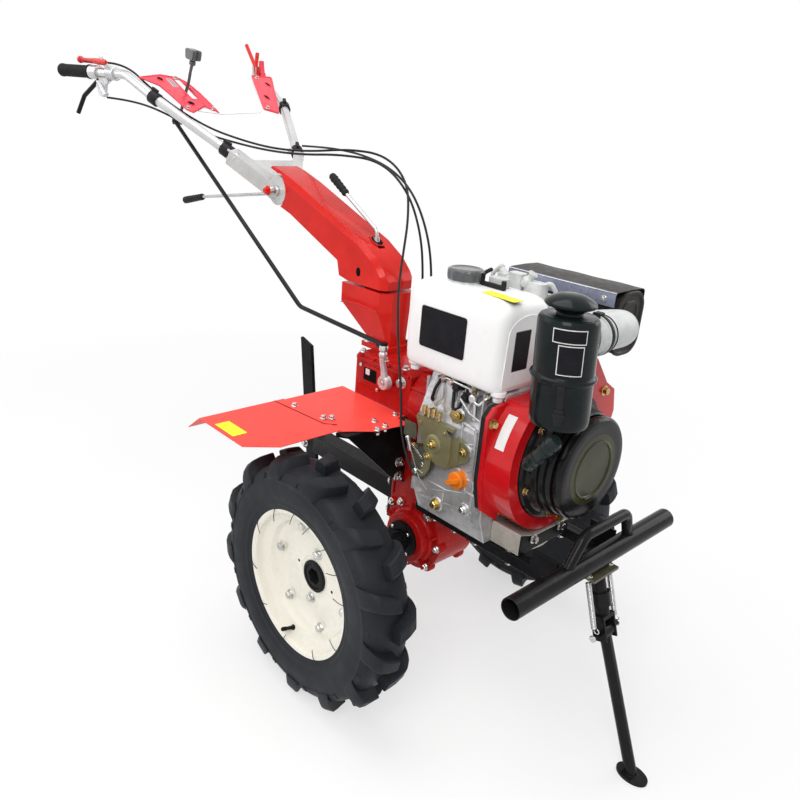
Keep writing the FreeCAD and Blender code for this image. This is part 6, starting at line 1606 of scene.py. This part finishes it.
def make_stage():
    """Camera, floor, world and lights."""
    scene = bpy.context.scene
    scene.view_settings.view_transform = "Standard"
    camera = bpy.data.cameras.new("camera")
    camera.sensor_width = 36
    camera.lens = CAMERA_LENS
    camera.shift_x, camera.shift_y = CAMERA_SHIFT
    camera.clip_start = 0.01
    holder = bpy.data.objects.new("camera", camera)
    columns = np.column_stack([CAMERA_RIGHT, CAMERA_UP, CAMERA_BACK, np.add(CAMERA_PLACE, (AXLE_X, 0, 0))])
    holder.matrix_world = mathutils.Matrix([*columns.tolist(), (0, 0, 0, 1)])
    scene.collection.objects.link(holder)
    scene.camera = holder

    world = bpy.data.worlds.new("studio")
    scene.world = world
    world.use_nodes = True
    tree = world.node_tree
    tree.nodes.clear()
    soft = wire(tree, "Background", (0, -120), Color=(0.96, 0.98, 1.0, 1), Strength=0.44)
    white = wire(tree, "Background", (0, 80), Color=(1, 1, 1, 1), Strength=1.0)
    mix = wire(tree, "MixShader", (200, 0), ((0, shown(tree, (-500, 200))), (1, soft.outputs[0]),
        (2, white.outputs[0])))
    wire(tree, "OutputWorld", (400, 0), (("Surface", mix.outputs[0]),))

    sheet = bpy.data.materials.new("floor_sheet")
    sheet.use_nodes = True
    tree = sheet.node_tree
    shader = tree.nodes["Principled BSDF"]
    shader.inputs["Roughness"].default_value = 0.85
    shader.inputs["Specular IOR Level"].default_value = 0.1
    where = wire(tree, "TexCoord", (-900, 0)).outputs["Object"]
    noise = wire(tree, "TexNoise", (-500, 0), (("Vector", where),), Scale=1.5, Detail=3.0)
    ramp = wire(tree, "ValToRGB", (-300, 0), (("Fac", noise.outputs["Fac"]),))
    for stop, shade in zip(ramp.color_ramp.elements, (0.90, 0.94)):
        stop.color = (shade, shade, shade, 1)
    tree.links.new(ramp.outputs["Color"], shader.inputs["Base Color"])
    far = wire(tree, "VectorMath", (-700, -300), ((0, where),), operation="LENGTH")
    fade = wire(tree, "MapRange", (-500, -300), (("Value", far.outputs["Value"]),), From_Min=0.9,
        From_Max=2.4, To_Min=0.6)
    share = wire(tree, "Math", (-140, -400), ((0, shown(tree, (-700, -500))), (1, fade.outputs["Result"])),
        operation="MULTIPLY")
    white = wire(tree, "Emission", (0, -300), Color=(1, 1, 1, 1), Strength=1.0)
    mix = wire(tree, "MixShader", (300, 0), ((0, share.outputs[0]), (1, shader.outputs[0]),
        (2, white.outputs[0])))
    tree.links.new(mix.outputs[0], tree.nodes["Material Output"].inputs["Surface"])
    span = np.linspace(-6, 6, 9)
    x, y = np.meshgrid(span, span, indexing="ij")
    points = np.stack([x, y, np.full_like(x, -0.0005)], axis=-1).reshape(-1, 3)
    mesh = bpy.data.meshes.new("floor")
    mesh.from_pydata(points.tolist(), [], quads(9, 9).tolist())
    if mesh.polygons[0].normal.z < 0:
        mesh.flip_normals()
    mesh.materials.append(sheet)
    floor = bpy.data.objects.new("floor", mesh)
    scene.collection.objects.link(floor)

    for name, place, size, power, tint in LAMPS:
        lamp(name, np.add(place, (AXLE_X, 0, 0)), size, power, (AXLE_X + 0.05, 0, 0.6), tint)


# ---------------------------------------------------------------------------
# Operators, panel and registration
# ---------------------------------------------------------------------------
class Step:
    """What every step of the weeder shares: it can be undone."""
    bl_options = {"REGISTER", "UNDO"}


class WEEDER_OT_finishes(Step, bpy.types.Operator):
    """Make the paints, metals, plastics and rubbers"""
    bl_idname = "weeder.finishes"
    bl_label = "Finishes"

    def execute(self, context):
        make_looks()
        return {"FINISHED"}


class WEEDER_OT_stage(Step, bpy.types.Operator):
    """Set up the floor, the lights and the camera"""
    bl_idname = "weeder.stage"
    bl_label = "Stage"

    def execute(self, context):
        make_stage()
        return {"FINISHED"}


class WEEDER_OT_wheels(Step, bpy.types.Operator):
    """Build the tyres, rims and hubs of both wheels"""
    bl_idname = "weeder.wheels"
    bl_label = "Wheels"

    def execute(self, context):
        for side in SIDES:
            make_tyre(side)
            make_rim(side)
            make_wheel_trim(side)
        return {"FINISHED"}


class WEEDER_OT_gearbox(Step, bpy.types.Operator):
    """Build the gearbox, its cover and the clutch housing"""
    bl_idname = "weeder.gearbox"
    bl_label = "Gearbox"

    def execute(self, context):
        make_gearbox()
        return {"FINISHED"}


class WEEDER_OT_column(Step, bpy.types.Operator):
    """Build the column that carries the handlebar"""
    bl_idname = "weeder.column"
    bl_label = "Column"

    def execute(self, context):
        make_column()
        return {"FINISHED"}


class WEEDER_OT_fenders(Step, bpy.types.Operator):
    """Build both fenders and their brackets"""
    bl_idname = "weeder.fenders"
    bl_label = "Fenders"

    def execute(self, context):
        make_fenders()
        return {"FINISHED"}


class WEEDER_OT_engine(Step, bpy.types.Operator):
    """Build the engine's castings, covers, starter and exhaust"""
    bl_idname = "weeder.engine"
    bl_label = "Engine"

    def execute(self, context):
        make_engine()
        return {"FINISHED"}


class WEEDER_OT_tank(Step, bpy.types.Operator):
    """Build the fuel tank and its cap"""
    bl_idname = "weeder.tank"
    bl_label = "Fuel tank"

    def execute(self, context):
        make_tank()
        return {"FINISHED"}


class WEEDER_OT_cleaner(Step, bpy.types.Operator):
    """Build the air cleaner"""
    bl_idname = "weeder.cleaner"
    bl_label = "Air cleaner"

    def execute(self, context):
        make_cleaner()
        return {"FINISHED"}


class WEEDER_OT_chassis(Step, bpy.types.Operator):
    """Build the rails, the bumper and the stand"""
    bl_idname = "weeder.chassis"
    bl_label = "Chassis"

    def execute(self, context):
        make_chassis()
        return {"FINISHED"}


class WEEDER_OT_handlebar(Step, bpy.types.Operator):
    """Build the handlebar, its console, grips and levers"""
    bl_idname = "weeder.handlebar"
    bl_label = "Handlebar"

    def execute(self, context):
        make_handlebar()
        return {"FINISHED"}


class WEEDER_OT_cables(Step, bpy.types.Operator):
    """Build the control cables"""
    bl_idname = "weeder.cables"
    bl_label = "Control cables"

    def execute(self, context):
        make_cables()
        return {"FINISHED"}


STEPS = ("finishes", "stage", "cables", "wheels", "gearbox", "column", "fenders", "engine", "tank",
    "cleaner", "chassis", "handlebar")


class WEEDER_PT_panel(bpy.types.Panel):
    """The sizes, the colours and the steps of the weeder"""
    bl_idname = "WEEDER_PT_panel"
    bl_label = "Power weeder"
    bl_space_type = "VIEW_3D"
    bl_region_type = "UI"
    bl_category = "Weeder"

    def draw(self, context):
        for group in (context.scene.weeder_paints, context.scene.weeder_tread, context.scene.weeder_trim):
            box = self.layout.box()
            for key in group.__annotations__:
                box.prop(group, key)
        column = self.layout.column()
        for key in STEPS:
            column.operator("weeder." + key)


CLASSES = (WeederPaints, WeederTread, WeederTrim, WEEDER_OT_finishes, WEEDER_OT_stage, WEEDER_OT_cables,
    WEEDER_OT_wheels, WEEDER_OT_gearbox, WEEDER_OT_column, WEEDER_OT_fenders, WEEDER_OT_engine,
    WEEDER_OT_tank, WEEDER_OT_cleaner, WEEDER_OT_chassis, WEEDER_OT_handlebar, WEEDER_PT_panel)


def register():
    """Make the classes and the property groups known."""
    for kind in CLASSES:
        bpy.utils.register_class(kind)
    bpy.types.Scene.weeder_paints = bpy.props.PointerProperty(type=WeederPaints)
    bpy.types.Scene.weeder_tread = bpy.props.PointerProperty(type=WeederTread)
    bpy.types.Scene.weeder_trim = bpy.props.PointerProperty(type=WeederTrim)


def unregister():
    """Take the classes and the property groups away."""
    del bpy.types.Scene.weeder_trim
    del bpy.types.Scene.weeder_tread
    del bpy.types.Scene.weeder_paints
    for kind in reversed(CLASSES):
        bpy.utils.unregister_class(kind)


def main():
    """Run every step."""
    register()
    for key in STEPS:
        getattr(bpy.ops.weeder, key)()
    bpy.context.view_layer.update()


if __name__ == "__main__":
    main()
